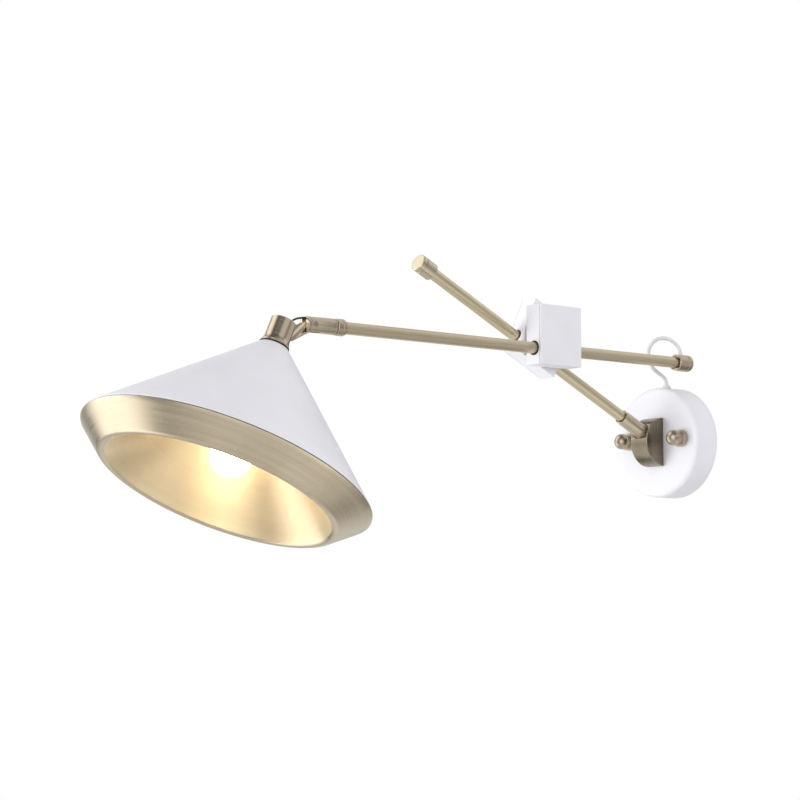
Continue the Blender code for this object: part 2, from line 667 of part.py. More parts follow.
def fork_sleeve():
    bore = ROD_RADIUS + GAP
    slot_root = 16 * MM
    slot_width = 5.2 * MM
    edge = 0.5 * MM
    profile = [
        (0, SLEEVE_LENGTH), (SLEEVE_RADIUS - edge, SLEEVE_LENGTH), (SLEEVE_RADIUS, SLEEVE_LENGTH - edge),
        (SLEEVE_RADIUS, 0.3 * MM), (SLEEVE_RADIUS - 0.3 * MM, 0), (bore, 0), (bore, SLEEVE_BORE),
        (0, SLEEVE_BORE),
    ]
    sleeve = turned("fork_sleeve", profile, "antique brass", head_frame)
    slot_length = 20 * MM
    cut(sleeve, block_mesh((slot_width, 20 * MM, slot_length), (0, 0, slot_root + slot_length / 2)))
    lead_hole = (0, LEAD_HEIGHT, SLEEVE_BORE + 1 * MM)
    cut(sleeve, cylinder_mesh(LEAD_RADIUS + GAP * 2, 8 * MM, SMALL_ROUND, lead_hole))
    pin_height = SLEEVE_LENGTH - HINGE_INSET
    cut(sleeve, cylinder_mesh(PIN_RADIUS + GAP, 20 * MM, SMALL_ROUND, (0, 0, pin_height), "X"))
    pin_half = 6 * MM
    pin = [
        (0, pin_half), (PIN_RADIUS - 0.3 * MM, pin_half), (PIN_RADIUS, pin_half - 0.3 * MM),
        (PIN_RADIUS, 0.3 * MM - pin_half), (PIN_RADIUS - 0.3 * MM, -pin_half), (0, -pin_half),
    ]
    turned("hinge_pin", pin, "antique brass", head_frame, (0, 0, pin_height), (0, pi / 2, 0), SMALL_ROUND)


# ---------------------------------------------------------------- knuckle tongue and neck

CUP_RADIUS = 10.3 * MM
CUP_CAVITY = 8 * MM
CUP_TOP = -10.9 * MM
CUP_BASE = -32.8 * MM
TONGUE_HEIGHT = -18.5 * MM


def outline_round(discs, steps=40):
    """The outline a band takes round discs given as (x, y, radius)."""
    points = []
    for i in range(steps):
        way = (cos(2 * pi * i / steps), sin(2 * pi * i / steps))
        x, y, radius = max(discs, key=lambda disc: disc[0] * way[0] + disc[1] * way[1] + disc[2])
        points.append((x + radius * way[0], y + radius * way[1]))
    return points


def knuckle_tongue():
    thickness = 4.4 * MM
    cup_side = -AXIS_OFFSET + CUP_RADIUS
    eye = (0, 0, 4.5 * MM)
    shoulder = (cup_side - 0.9 * MM, CUP_TOP - 1.5 * MM, 0.9 * MM)
    root = (cup_side - 1 * MM, TONGUE_HEIGHT + 0.5 * MM, 5.2 * MM)
    mesh = mesh_from_outline(outline_round((eye, shoulder, root)), thickness)
    mesh.transform(Matrix(((0, 0, 1, 0), (1, 0, 0, 0), (0, 1, 0, 0), (0, 0, 0, 1))))
    tongue = finish_object("knuckle_tongue", mesh, "antique brass", shade_frame)
    bevel(tongue, 0.4 * MM, 1)
    cut(tongue, cylinder_mesh(PIN_RADIUS + GAP, 20 * MM, SMALL_ROUND, (0, 0, 0), "X"))
    cut(tongue, cylinder_mesh(CUP_RADIUS + GAP, 60 * MM, ROUND, (0, -AXIS_OFFSET, -25 * MM)))
    screw_place = (0, cup_side - 1 * MM, TONGUE_HEIGHT)
    cut(tongue, cylinder_mesh(SCREW_HOLE, 13 * MM, SMALL_ROUND, screw_place, "Y"))


def tongue_screw():
    """Holds the tongue to the cup, from inside the cup. Its head stands clear of the cup's round wall."""
    frame = empty("tongue_screw_frame", (0, 0, 0), OUTWARD)
    frame.parent = shade_frame
    head_low = AXIS_OFFSET - CUP_CAVITY + 0.8 * MM
    head_top = head_low + 1.6 * MM
    shaft = 1.2 * MM
    tip = 9.9 * MM
    profile = [
        (0, head_top), (2.3 * MM, head_top), (2.6 * MM, head_top - 0.4 * MM), (2.6 * MM, head_low),
        (shaft, head_low), (shaft, tip), (0, tip),
    ]
    turned("tongue_screw", profile, "zinc steel", frame, (0, TONGUE_HEIGHT, 0), steps=SMALL_ROUND)


def neck_cup():
    flare = 12 * MM
    roof = CUP_TOP - 2 * MM
    web = -23 * MM
    bore = NIPPLE_RADIUS + GAP
    flare_points = [(CUP_RADIUS + 0.2 * MM, -27.5 * MM), (CUP_RADIUS + 0.5 * MM, -29.6 * MM)]
    profile = [
        (0, CUP_TOP), (CUP_RADIUS - 0.9 * MM, CUP_TOP), (CUP_RADIUS - 0.25 * MM, CUP_TOP - 0.25 * MM),
        (CUP_RADIUS, CUP_TOP - 0.9 * MM), (CUP_RADIUS, -27.2 * MM), *flare_points,
        (flare - 0.4 * MM, CUP_BASE + 1 * MM), (flare, CUP_BASE + 0.4 * MM), (flare, CUP_BASE),
        (bore, CUP_BASE), (bore, web), (CUP_CAVITY, web), (CUP_CAVITY, roof), (0, roof),
    ]
    cup = turned("neck_cup", profile, "antique brass", shade_frame, SHADE_AXIS)
    wall_middle = (CUP_RADIUS + CUP_CAVITY) / 2
    cut(cup, cylinder_mesh(SCREW_HOLE, 6 * MM, SMALL_ROUND, (0, wall_middle, TONGUE_HEIGHT), "Y"))
    cut(cup, cylinder_mesh(LEAD_RADIUS + GAP, 6 * MM, SMALL_ROUND, (0, 5.6 * MM, CUP_TOP)))


def neck_stack():
    """Gasket, hollow nipple and nut between the cup and the shade."""
    gasket_top = CUP_BASE - GAP
    gasket_low = gasket_top - 0.9 * MM
    bore = NIPPLE_RADIUS + GAP
    gasket = tube_profile(12.3 * MM, bore, gasket_low, gasket_top)
    turned("neck_gasket", gasket, "black plastic", shade_frame, SHADE_AXIS, closed=True)
    nipple = tube_profile(NIPPLE_RADIUS, NIPPLE_BORE, -46 * MM, -24 * MM, 0.4 * MM)
    turned("neck_nipple", nipple, "zinc steel", shade_frame, SHADE_AXIS, steps=SMALL_ROUND, closed=True)
    nut_height = 3.6 * MM
    nut_top = -RIM_BELOW_HINGE + SHADE_HEIGHT - 1.2 * MM - GAP
    nut_place = (0, -AXIS_OFFSET, nut_top - nut_height)
    hex_nut("neck_nut", 14 * MM, nut_height, bore, "zinc steel", shade_frame, nut_place)


def joint_lead():
    """Short black lead from the sleeve, over the hinge and into the cup."""
    route = [
        (0, 2.2, 14.6), (0, 2.2, 16.2), (0, 3.8, 18), (0, 5.3, 20.2), (0, 5.6, 23), (0, 5.4, 26.5),
        (0, 4.9, 30.5), (0, 4.3, 34.5), (0, 3.2, 38.5), (0, 1.6, 41.6), (0, -0.6, 43.9), (0, -3.4, 45.6),
        (0, -5.2, 46.4),
    ]
    in_head = Matrix.Translation((ROD_B_X, -SLEEVE_START, ROD_B_Z)) @ Matrix.Rotation(pi / 2, 4, "X")
    points = [in_head @ (Vector(place) * MM) for place in route]
    wire("joint_lead", smooth_route(points, 3.5 * MM), LEAD_RADIUS, "black plastic")


# ---------------------------------------------------------------- shade, reflector and lamp

def shade_outer():
    top = -RIM_BELOW_HINGE + SHADE_HEIGHT
    rim = -RIM_BELOW_HINGE
    slope = (SHADE_RIM_RADIUS - SHADE_NECK_RADIUS) / SHADE_HEIGHT
    roof = top - 1.2 * MM
    inset = SHEET * hypot(1, slope)
    roof_radius = SHADE_NECK_RADIUS + (top - roof) * slope - inset
    profile = [
        (NIPPLE_RADIUS + GAP, top), (SHADE_NECK_RADIUS, top), (SHADE_RIM_RADIUS, rim),
        (SHADE_RIM_RADIUS - inset, rim), (roof_radius, roof), (NIPPLE_RADIUS + GAP, roof),
    ]
    turned("shade_outer", profile, "white paint", shade_frame, SHADE_AXIS, steps=SHADE_ROUND, closed=True)


def reflector_slope(distance):
    """A step along the reflector's side, up and in at 45 degrees, as (radius, height)."""
    return (-distance * cos(pi / 4), distance * sin(pi / 4))


def lip_band():
    """Brass band below the white rim. It runs in and down, turns up round the mouth and ends in a short
    flange that carries on into the reflector."""
    top = -RIM_BELOW_HINGE - GAP
    centre = (LIP_RADIUS, -RIM_BELOW_HINGE - LIP_DROP + LIP_ROLL)
    to_roll = (centre[0] - SHADE_RIM_RADIUS, centre[1] - top)
    tilt = atan2(to_roll[1], to_roll[0]) + asin(LIP_ROLL / hypot(*to_roll))
    start = 90 + degrees(tilt)
    end = -135
    outside = arc(*centre, LIP_ROLL, start, end, 6)
    inside = arc(*centre, LIP_ROLL - SHEET, end, start, 5)
    flange = reflector_slope(LIP_FLANGE)
    flange_edge = [(point[0] + flange[0], point[1] + flange[1]) for point in (outside[-1], inside[0])]
    thickness = SHEET / abs(sin(tilt))
    profile = [(SHADE_RIM_RADIUS, top), *outside, *flange_edge, *inside, (SHADE_RIM_RADIUS - thickness, top)]
    turned("lip_band", profile, "shade brass", shade_frame, SHADE_AXIS, steps=SHADE_ROUND, closed=True)
    return outside[-1]


def inner_reflector(lip_end):
    """Brass cone from the lip's flange up to a flat top round the lamp holder."""
    bore = 14.4 * MM
    top = -92 * MM
    step = reflector_slope(LIP_FLANGE + GAP)
    foot = (lip_end[0] + step[0], lip_end[1] + step[1])
    top_radius = foot[0] - (top - foot[1])
    back = SHEET * cos(pi / 4)
    profile = [
        (bore, top + SHEET), (top_radius + 2 * back - SHEET, top + SHEET), (foot[0] + back, foot[1] + back),
        foot, (top_radius, top), (bore, top),
    ]
    turned("inner_reflector", profile, "shade brass", shade_frame, SHADE_AXIS, steps=SHADE_ROUND, closed=True)


def lamp():
    """Lamp holder, and the bulb as its cap, glass and filament stem."""
    holder_top = -40.1 * MM
    shoulder = -47 * MM
    holder_low = -95 * MM
    holder = [
        (9 * MM, holder_top), (9 * MM, shoulder + 1 * MM), (12 * MM, shoulder), (13 * MM, shoulder - 1 * MM),
        (13 * MM, holder_low + 1 * MM), (12 * MM, holder_low), (7.4 * MM, holder_low),
        (7.4 * MM, -72 * MM), (NIPPLE_RADIUS + GAP, -72 * MM), (NIPPLE_RADIUS + GAP, holder_top),
    ]
    turned("lamp_holder", holder, "cream plastic", shade_frame, SHADE_AXIS, closed=True)
    cap_top = -74 * MM
    cap_low = -98 * MM
    cap = [
        (0, cap_top), (3 * MM, cap_top), (3.4 * MM, cap_top - 2 * MM), (6.6 * MM, cap_top - 3.6 * MM),
        (6.9 * MM, cap_top - 5 * MM), (6.9 * MM, cap_low), (4 * MM, cap_low), (4 * MM, cap_low + 8 * MM),
        (0, cap_low + 8 * MM),
    ]
    turned("bulb_cap", cap, "zinc steel", shade_frame, SHADE_AXIS, steps=SMALL_ROUND)
    globe = 16 * MM
    globe_centre = -130.2 * MM
    glass = 0.8 * MM
    neck = cap_low - GAP
    inner = arc(0, globe_centre, globe - glass, -90, 50, 7)
    outer = arc(0, globe_centre, globe, 50, -90, 7)
    profile = inner + [(5.9 * MM, neck), (6.7 * MM, neck)] + outer
    turned("bulb_glass", profile, "lamp glass", shade_frame, SHADE_AXIS)
    stem_top = neck - 4 * MM
    stem = [(0, stem_top), (2 * MM, stem_top), (2 * MM, -118 * MM), *arc(0, -128 * MM, 6 * MM, 70, -90, 5)]
    turned("bulb_filament", stem, "filament", shade_frame, SHADE_AXIS, steps=SMALL_ROUND)


mounting_bracket()
studs_and_finials()
canopy()
earth_screw()
terminal_block()
cable_gland()
canopy_lead()
supply_cord()
wall_knuckle()
knuckle_fixings()
arm_collar()
rod_a()
slider("rear", rear_frame, -1)
slider("front", front_frame, 1)
pivot_parts()
rod_b()
rod_lead()
fork_sleeve()
knuckle_tongue()
tongue_screw()
neck_cup()
neck_stack()
joint_lead()
shade_outer()
inner_reflector(lip_band())
lamp()
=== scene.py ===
"""Looks of the swing arm wall sconce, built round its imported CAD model.

The wall is the plane Y = 0, the lamp stands out along -Y and Z is up. Profiles and sizes are in millimetres,
and they are turned into metres as each mesh is made."""

import json
from math import asin, atan2, cos, degrees, hypot, pi, radians, sin, tan

import bmesh
import bpy
from mathutils import Matrix, Vector


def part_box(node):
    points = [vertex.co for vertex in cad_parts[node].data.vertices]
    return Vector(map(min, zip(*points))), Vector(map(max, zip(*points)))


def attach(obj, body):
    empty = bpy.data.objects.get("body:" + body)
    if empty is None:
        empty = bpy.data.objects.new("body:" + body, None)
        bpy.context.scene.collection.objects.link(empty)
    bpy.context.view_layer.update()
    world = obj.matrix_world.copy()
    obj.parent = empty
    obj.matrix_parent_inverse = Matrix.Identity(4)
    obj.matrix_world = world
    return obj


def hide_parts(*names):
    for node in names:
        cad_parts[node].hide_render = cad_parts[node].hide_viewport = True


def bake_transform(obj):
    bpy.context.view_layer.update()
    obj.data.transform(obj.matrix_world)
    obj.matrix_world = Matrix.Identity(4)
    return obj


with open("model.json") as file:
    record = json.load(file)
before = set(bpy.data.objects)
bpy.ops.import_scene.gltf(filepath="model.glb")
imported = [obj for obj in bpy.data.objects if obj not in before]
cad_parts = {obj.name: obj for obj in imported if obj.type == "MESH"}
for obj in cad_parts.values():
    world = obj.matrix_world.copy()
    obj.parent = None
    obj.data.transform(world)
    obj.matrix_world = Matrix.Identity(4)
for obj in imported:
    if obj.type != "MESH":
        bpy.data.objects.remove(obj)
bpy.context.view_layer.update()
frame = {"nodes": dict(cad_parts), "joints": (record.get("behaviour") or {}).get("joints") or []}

MM = 0.001
GAP = 0.3
SHADE_STEPS = 144
ROD_STEPS = 64
SHARP = radians(34)

# Frames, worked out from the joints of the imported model
JOINTS = {joint["name"]: joint for joint in frame["joints"]}
KNUCKLE_CENTRE = Vector(JOINTS["wall_swivel"]["pos_m"])
ROD_A_AXIS = Vector(JOINTS["block_slide"]["axis"])
PIVOT = Vector(JOINTS["block_pivot"]["pos_m"])
SLEEVE_MOUTH = Vector(JOINTS["head_roll"]["pos_m"])
HINGE = Vector(JOINTS["shade_tilt"]["pos_m"])
ROD_A_ANGLE = atan2(ROD_A_AXIS.z, -ROD_A_AXIS.y)
ROD_B_END = Vector((SLEEVE_MOUTH.x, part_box("rod_b_end_cap")[1].y, SLEEVE_MOUTH.z))
SHADE_TILT = radians(25)
AXIS_OFFSET = 24.8

OUTWARD = Matrix.Rotation(pi / 2, 4, "X")
WALL = OUTWARD
ARM = Matrix.Translation(KNUCKLE_CENTRE) @ OUTWARD
ROD_A = Matrix.Translation(KNUCKLE_CENTRE) @ Matrix.Rotation(pi / 2 - ROD_A_ANGLE, 4, "X")
REAR = Matrix.Translation(PIVOT) @ Matrix.Rotation(-ROD_A_ANGLE, 4, "X")
FRONT = Matrix.Translation(PIVOT + Vector((SLEEVE_MOUTH.x, 0, 0)))
ROD_B = Matrix.Translation(ROD_B_END) @ OUTWARD
HEAD = Matrix.Translation(SLEEVE_MOUTH) @ OUTWARD
SHADE_FRAME = Matrix.Translation(HINGE) @ Matrix.Rotation(-SHADE_TILT, 4, "X")
SHADE = SHADE_FRAME @ Matrix.Translation((0, -AXIS_OFFSET * MM, 0))


# ---------------------------------------------------------------- mesh helpers

def softened(corners, closed=False, steps=4):
    """Profile points for corners given as (radius, height) or (radius, height, rounding). A rounded corner
    becomes an arc, with one more point just outside each end of it that keeps the flats beside it flat."""
    points = []
    count = len(corners)
    for i, corner in enumerate(corners):
        here = Vector(corner[:2])
        inside = closed or 0 < i < count - 1
        if len(corner) < 3 or not inside:
            points.append(here)
            continue
        rounding = corner[2]
        to_last = Vector(corners[i - 1][:2]) - here
        to_next = Vector(corners[(i + 1) % count][:2]) - here
        half = to_last.angle(to_next) / 2
        back = to_last.normalized()
        ahead = to_next.normalized()
        reach = rounding / tan(half)
        room = 0.48 * min(to_last.length, to_next.length)
        if reach > room:
            reach = room
            rounding = reach * tan(half)
        support = min(0.25 * reach, room - reach)
        centre = here + (back + ahead).normalized() * (rounding / sin(half))
        start = here + back * reach - centre
        end = here + ahead * reach - centre
        turn = start.angle_signed(end)
        if support > 0.01:
            points.append(here + back * (reach + support))
        for step in range(steps + 1):
            a = -turn * step / steps
            points.append(centre + Vector((
                start.x * cos(a) - start.y * sin(a), start.x * sin(a) + start.y * cos(a)
            )))
        if support > 0.01:
            points.append(here + ahead * (reach + support))
    return [(p.x, p.y) for p in points]


def arc(centre, radius, start, end, count):
    """Points on an arc in the profile plane, angles in degrees from the outward direction."""
    angles = [radians(start + (end - start) * i / count) for i in range(count + 1)]
    return [(centre[0] + radius * cos(a), centre[1] + radius * sin(a)) for a in angles]


def lathe(profile, closed=False, steps=ROD_STEPS):
    """A mesh turned about Z from (radius, height) points in millimetres."""
    shape = bmesh.new()
    rings = []
    for radius, height in profile:
        sides = 1 if radius < 1e-5 else steps
        rings.append([
            shape.verts.new((
                radius * MM * cos(2 * pi * i / steps), radius * MM * sin(2 * pi * i / steps), height * MM
            ))
            for i in range(sides)
        ])
    pairs = list(zip(rings, rings[1:]))
    if closed:
        pairs.append((rings[-1], rings[0]))
    for upper, lower in pairs:
        for i in range(steps):
            j = (i + 1) % steps
            corners = [
                upper[i % len(upper)], lower[i % len(lower)], lower[j % len(lower)], upper[j % len(upper)]
            ]
            shape.faces.new(list(dict.fromkeys(corners)))
    return to_mesh(shape)


def to_mesh(shape):
    bmesh.ops.recalc_face_normals(shape, faces=shape.faces)
    mesh = bpy.data.meshes.new("mesh")
    shape.to_mesh(mesh)
    shape.free()
    return mesh


def box_mesh(size, centre=(0, 0, 0)):
    shape = bmesh.new()
    matrix = Matrix.Translation(Vector(centre) * MM) @ Matrix.Diagonal((*(Vector(size) * MM), 1))
    bmesh.ops.create_cube(shape, size=1, matrix=matrix)
    return to_mesh(shape)


def rod_mesh(radius, length, centre=(0, 0, 0), axis="Z", steps=ROD_STEPS):
    """A cylinder along one axis, used as a cutter."""
    turns = {"X": Matrix.Rotation(pi / 2, 4, "Y"), "Y": Matrix.Rotation(pi / 2, 4, "X"), "Z": Matrix()}
    shape = bmesh.new()
    bmesh.ops.create_cone(
        shape, cap_ends=True, segments=steps, radius1=radius * MM, radius2=radius * MM, depth=length * MM,
        matrix=Matrix.Translation(Vector(centre) * MM) @ turns[axis],
    )
    return to_mesh(shape)


def plate_mesh(outline, thickness):
    """A flat outline of (Y, Z) points, with its thickness along X."""
    shape = bmesh.new()
    half = thickness / 2 * MM
    near = [shape.verts.new((half, y * MM, z * MM)) for y, z in outline]
    far = [shape.verts.new((-half, y * MM, z * MM)) for y, z in outline]
    shape.faces.new(near)
    shape.faces.new(reversed(far))
    for i in range(len(outline)):
        j = (i + 1) % len(outline)
        shape.faces.new((near[i], far[i], far[j], near[j]))
    return to_mesh(shape)


def with_modifiers(mesh, add):
    """The mesh after the modifiers that add() puts on it."""
    holder = bpy.data.objects.new("holder", mesh)
    bpy.context.scene.collection.objects.link(holder)
    add(holder)
    graph = bpy.context.evaluated_depsgraph_get()
    result = bpy.data.meshes.new_from_object(holder.evaluated_get(graph))
    bpy.data.objects.remove(holder, do_unlink=True)
    return result


def cut(mesh, *cutters):
    """The mesh less the cutters, which are in its own frame."""
    tools = []
    for cutter in cutters:
        tool = bpy.data.objects.new("cutter", cutter)
        bpy.context.scene.collection.objects.link(tool)
        tools.append(tool)

    def add(holder):
        for tool in tools:
            boolean = holder.modifiers.new("cut", "BOOLEAN")
            boolean.operation = "DIFFERENCE"
            boolean.solver = "EXACT"
            boolean.object = tool

    result = with_modifiers(mesh, add)
    for tool in tools:
        bpy.data.objects.remove(tool, do_unlink=True)
    return result


def bevelled(mesh, width, segments=3, angle=radians(38)):
    def add(holder):
        edge = holder.modifiers.new("edges", "BEVEL")
        edge.width = width * MM
        edge.segments = segments
        edge.limit_method = "ANGLE"
        edge.angle_limit = angle
        edge.use_clamp_overlap = True
        edge.harden_normals = True

    mesh.shade_smooth()
    return with_modifiers(mesh, add)


def mark_wear_and_highlight(mesh):
    """A value at each vertex, from 0 on flats and in hollows to 1 on outer edges, for wear together with a
    painted highlight along the edges.
    """
    shape = bmesh.new()
    shape.from_mesh(mesh)
    full = radians(20)
    values = []
    for vertex in shape.verts:
        bends = [edge.calc_face_angle_signed(0) for edge in vertex.link_edges if len(edge.link_faces) == 2]
        values.append(min(1.0, max(0.0, max(bends, default=0) / full - 0.35)))
    shape.free()
    wear_and_highlight = mesh.attributes.new("wear_and_highlight", "FLOAT", "POINT")
    wear_and_highlight.data.foreach_set("value", values)


def keep_own_place(mesh, place):
    """Each vertex's place in the piece's own frame, and the way round that frame's Z there, turned into the
    row frame. The materials read both, so grain stays fixed to the metal while a piece moves or bends."""
    own = []
    around = []
    turn = place.to_3x3()
    for vertex in mesh.vertices:
        own.extend(vertex.co)
        way = Vector((-vertex.co.y, vertex.co.x, 0))
        around.extend(turn @ (way.normalized() if way.length > 1e-7 else Vector((1, 0, 0))))
    mesh.attributes.new("own", "FLOAT_VECTOR", "POINT").data.foreach_set("vector", own)
    mesh.attributes.new("around", "FLOAT_VECTOR", "POINT").data.foreach_set("vector", around)


def show(name, mesh, place, body, material, nodes=None):
    """A finished piece, riding on a body and standing for CAD nodes. Its mesh is in the frame given by
    place, and is moved into the row frame."""
    nodes = nodes or [name]
    piece = bpy.data.objects.new(name + "_fine", mesh)
    bpy.context.scene.collection.objects.link(piece)
    mesh.materials.clear()
    mesh.materials.append(material)
    mesh.shade_smooth()
    if not mesh.has_custom_normals:
        mesh.set_sharp_from_angle(angle=SHARP)
    mark_wear_and_highlight(mesh)
    keep_own_place(mesh, place)
    mesh.transform(place)
    if body:
        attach(piece, body)
    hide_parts(*nodes)
    return piece


# ---------------------------------------------------------------- material helpers

def new_material(name, roughness, metallic=0.0):
    material = bpy.data.materials.new(name)
    material.use_nodes = True
    shader = material.node_tree.nodes["Principled BSDF"]
    shader.inputs["Roughness"].default_value = roughness
    shader.inputs["Metallic"].default_value = metallic
    return material, material.node_tree, shader


def add_node(tree, kind, settings=None, **inputs):
    """A node with its settings, and with each input set to a value or joined to a socket."""
    node = tree.nodes.new(kind)
    for key, value in (settings or {}).items():
        setattr(node, key, value)
    for key, value in inputs.items():
        socket = node.inputs[key.replace("_", " ")]
        if isinstance(value, bpy.types.NodeSocket):
            tree.links.new(value, socket)
        else:
            socket.default_value = value
    return node


def own_place(tree):
    return add_node(tree, "ShaderNodeAttribute", {"attribute_name": "own"}).outputs["Vector"]


def noise(tree, vector, scale, detail=4.0, rough=0.55):
    node = add_node(tree, "ShaderNodeTexNoise", Vector=vector, Scale=scale, Detail=detail, Roughness=rough)
    return node.outputs["Fac"]


def ring_noise(tree, across, around, detail=6.0):
    """Noise in rings about the piece's own Z: across is lines per metre, around is how much a line changes
    on its way round."""
    split = add_node(tree, "ShaderNodeSeparateXYZ", Vector=own_place(tree))
    flat = add_node(tree, "ShaderNodeCombineXYZ", X=split.outputs["X"], Y=split.outputs["Y"])
    radius = add_node(tree, "ShaderNodeVectorMath", {"operation": "LENGTH"}, Vector=flat.outputs[0])
    facing = add_node(tree, "ShaderNodeVectorMath", {"operation": "NORMALIZE"}, Vector=flat.outputs[0])
    spread = add_node(
        tree, "ShaderNodeVectorMath", {"operation": "SCALE"}, Vector=facing.outputs[0], Scale=around
    )
    lines = add_node(tree, "ShaderNodeMath", {"operation": "MULTIPLY"})
    tree.links.new(radius.outputs["Value"], lines.inputs[0])
    lines.inputs[1].default_value = across
    lift = add_node(tree, "ShaderNodeCombineXYZ", Z=lines.outputs[0])
    place = add_node(tree, "ShaderNodeVectorMath", {"operation": "ADD"})
    tree.links.new(spread.outputs[0], place.inputs[0])
    tree.links.new(lift.outputs[0], place.inputs[1])
    height = add_node(tree, "ShaderNodeMath", {"operation": "MULTIPLY"})
    tree.links.new(split.outputs["Z"], height.inputs[0])
    height.inputs[1].default_value = across
    node = add_node(
        tree, "ShaderNodeTexNoise", {"noise_dimensions": "4D"}, Vector=place.outputs[0],
        W=height.outputs[0], Scale=1.0, Detail=detail, Roughness=0.62,
    )
    return node.outputs["Fac"]


def drawn_noise(tree, scale):
    """Noise in streaks along whichever of the piece's own axes has the least scale."""
    stretch = add_node(tree, "ShaderNodeMapping", Vector=own_place(tree), Scale=scale)
    return noise(tree, stretch.outputs[0], 1.0, 5.0, 0.6)


def mixed(tree, factor, low, high):
    node = add_node(tree, "ShaderNodeMix", {"data_type": "RGBA"})
    for socket, value in ((node.inputs[0], factor), (node.inputs[6], low), (node.inputs[7], high)):
        if isinstance(value, bpy.types.NodeSocket):
            tree.links.new(value, socket)
        else:
            socket.default_value = (*value, 1) if isinstance(value, tuple) else value
    return node.outputs[2]


def ranged(tree, value, low, high, to_low, to_high):
    node = add_node(tree, "ShaderNodeMapRange", Value=value)
    node.inputs["From Min"].default_value = low
    node.inputs["From Max"].default_value = high
    node.inputs["To Min"].default_value = to_low
    node.inputs["To Max"].default_value = to_high
    return node.outputs[0]


def bumped(tree, shader, height, depth, strength=1.0, normal=None):
    """Bump with a depth in millimetres."""
    bump = add_node(tree, "ShaderNodeBump", Height=height, Strength=strength, Distance=depth * MM)
    if normal:
        tree.links.new(normal, bump.inputs["Normal"])
    tree.links.new(bump.outputs[0], shader.inputs["Normal"])
    return bump.outputs[0]


# ---------------------------------------------------------------- materials

def brass(name, light, dark, worn_and_highlight, roughness, grain, depth=0.012, brushed=0.0):
    """Brushed brass. grain(tree) makes its lines, patches of patina darken it, and outer edges are lighter:
    partly wear, partly a painted highlight for the light the bevels catch.
    """
    material, tree, shader = new_material(name, roughness, 1.0)
    lines = grain(tree)
    patches = noise(tree, own_place(tree), 40.0, 2.0, 0.5)
    even = ranged(tree, patches, 0.25, 0.75, 0.0, 1.0)
    streaks = ranged(tree, lines, 0.35, 0.65, 0.0, 1.0)
    both = add_node(tree, "ShaderNodeMix", {"data_type": "FLOAT"})
    both.inputs[0].default_value = 0.55
    tree.links.new(even, both.inputs[2])
    tree.links.new(streaks, both.inputs[3])
    base = mixed(tree, both.outputs[0], dark, light)
    # Outer edges turn lighter: real wear, and a painted highlight standing in for light on the bevels.
    wear_and_highlight = add_node(tree, "ShaderNodeAttribute", {"attribute_name": "wear_and_highlight"})
    rubbed_and_highlight = add_node(tree, "ShaderNodeMath", {"operation": "MULTIPLY"})
    tree.links.new(wear_and_highlight.outputs["Fac"], rubbed_and_highlight.inputs[0])
    tree.links.new(ranged(tree, patches, 0.3, 0.6, 0.45, 1.0), rubbed_and_highlight.inputs[1])
    tree.links.new(mixed(tree, rubbed_and_highlight.outputs[0], base, worn_and_highlight), shader.inputs["Base Color"])
    rough = ranged(tree, lines, 0.3, 0.7, roughness - 0.05, roughness + 0.07)
    tree.links.new(rough, shader.inputs["Roughness"])
    bumped(tree, shader, lines, depth)
    if brushed:
        shader.inputs["Anisotropic"].default_value = brushed
        shader.inputs["Anisotropic Rotation"].default_value = 0.25
        around = add_node(tree, "ShaderNodeAttribute", {"attribute_name": "around"})
        settings = {"vector_type": "VECTOR", "convert_from": "OBJECT", "convert_to": "WORLD"}
        tangent = add_node(tree, "ShaderNodeVectorTransform", settings, Vector=around.outputs["Vector"])
        tree.links.new(tangent.outputs[0], shader.inputs["Tangent"])
    return material


def paint(name, colour, roughness):
    """Sprayed satin paint: faint orange peel, very slight clouding, and dust specks."""
    material, tree, shader = new_material(name, roughness)
    place = own_place(tree)
    clouds = noise(tree, place, 25.0, 3.0)
    duller = tuple(c * 0.965 for c in colour)
    specks = add_node(tree, "ShaderNodeTexVoronoi", {"feature": "F1"}, Vector=place, Scale=420.0)
    dust = ranged(tree, specks.outputs["Distance"], 0.02, 0.05, 0.5, 0.0)
    body = mixed(tree, ranged(tree, clouds, 0.35, 0.65, 0.0, 1.0), duller, colour)
    grey = tuple(c * 0.86 for c in colour)
    tree.links.new(mixed(tree, dust, body, grey), shader.inputs["Base Color"])
    rough = ranged(tree, clouds, 0.3, 0.7, roughness - 0.04, roughness + 0.05)
    tree.links.new(rough, shader.inputs["Roughness"])
    bumped(tree, shader, noise(tree, place, 700.0, 2.0), 0.02, 0.6)
    shader.inputs["Specular IOR Level"].default_value = 0.45
    return material


def plastic(name, colour, roughness, texture=0.02, scale=900.0):
    """Moulded plastic with a fine grain and slightly uneven colour."""
    material, tree, shader = new_material(name, roughness)
    place = own_place(tree)
    cells = noise(tree, place, scale, 3.0)
    clouds = noise(tree, place, 60.0, 3.0)
    duller = tuple(c * 0.88 for c in colour)
    body = mixed(tree, ranged(tree, clouds, 0.35, 0.65, 0.0, 1.0), duller, colour)
    tree.links.new(body, shader.inputs["Base Color"])
    rough = ranged(tree, cells, 0.3, 0.7, roughness - 0.06, roughness + 0.08)
    tree.links.new(rough, shader.inputs["Roughness"])
    bumped(tree, shader, cells, texture)
    return material


def steel():
    """Zinc plated steel, with the plating's cloudy crystals."""
    material, tree, shader = new_material("zinc_steel_fine", 0.34, 1.0)
    place = own_place(tree)
    crystals = add_node(tree, "ShaderNodeTexVoronoi", {"feature": "F1"}, Vector=place, Scale=260.0)
    flake = ranged(tree, crystals.outputs["Color"], 0.0, 1.0, 0.0, 1.0)
    tree.links.new(mixed(tree, flake, (0.52, 0.52, 0.5), (0.68, 0.68, 0.64)), shader.inputs["Base Color"])
    scratches = noise(tree, place, 500.0, 6.0)
    tree.links.new(ranged(tree, scratches, 0.3, 0.7, 0.26, 0.44), shader.inputs["Roughness"])
    bumped(tree, shader, scratches, 0.012)
    return material


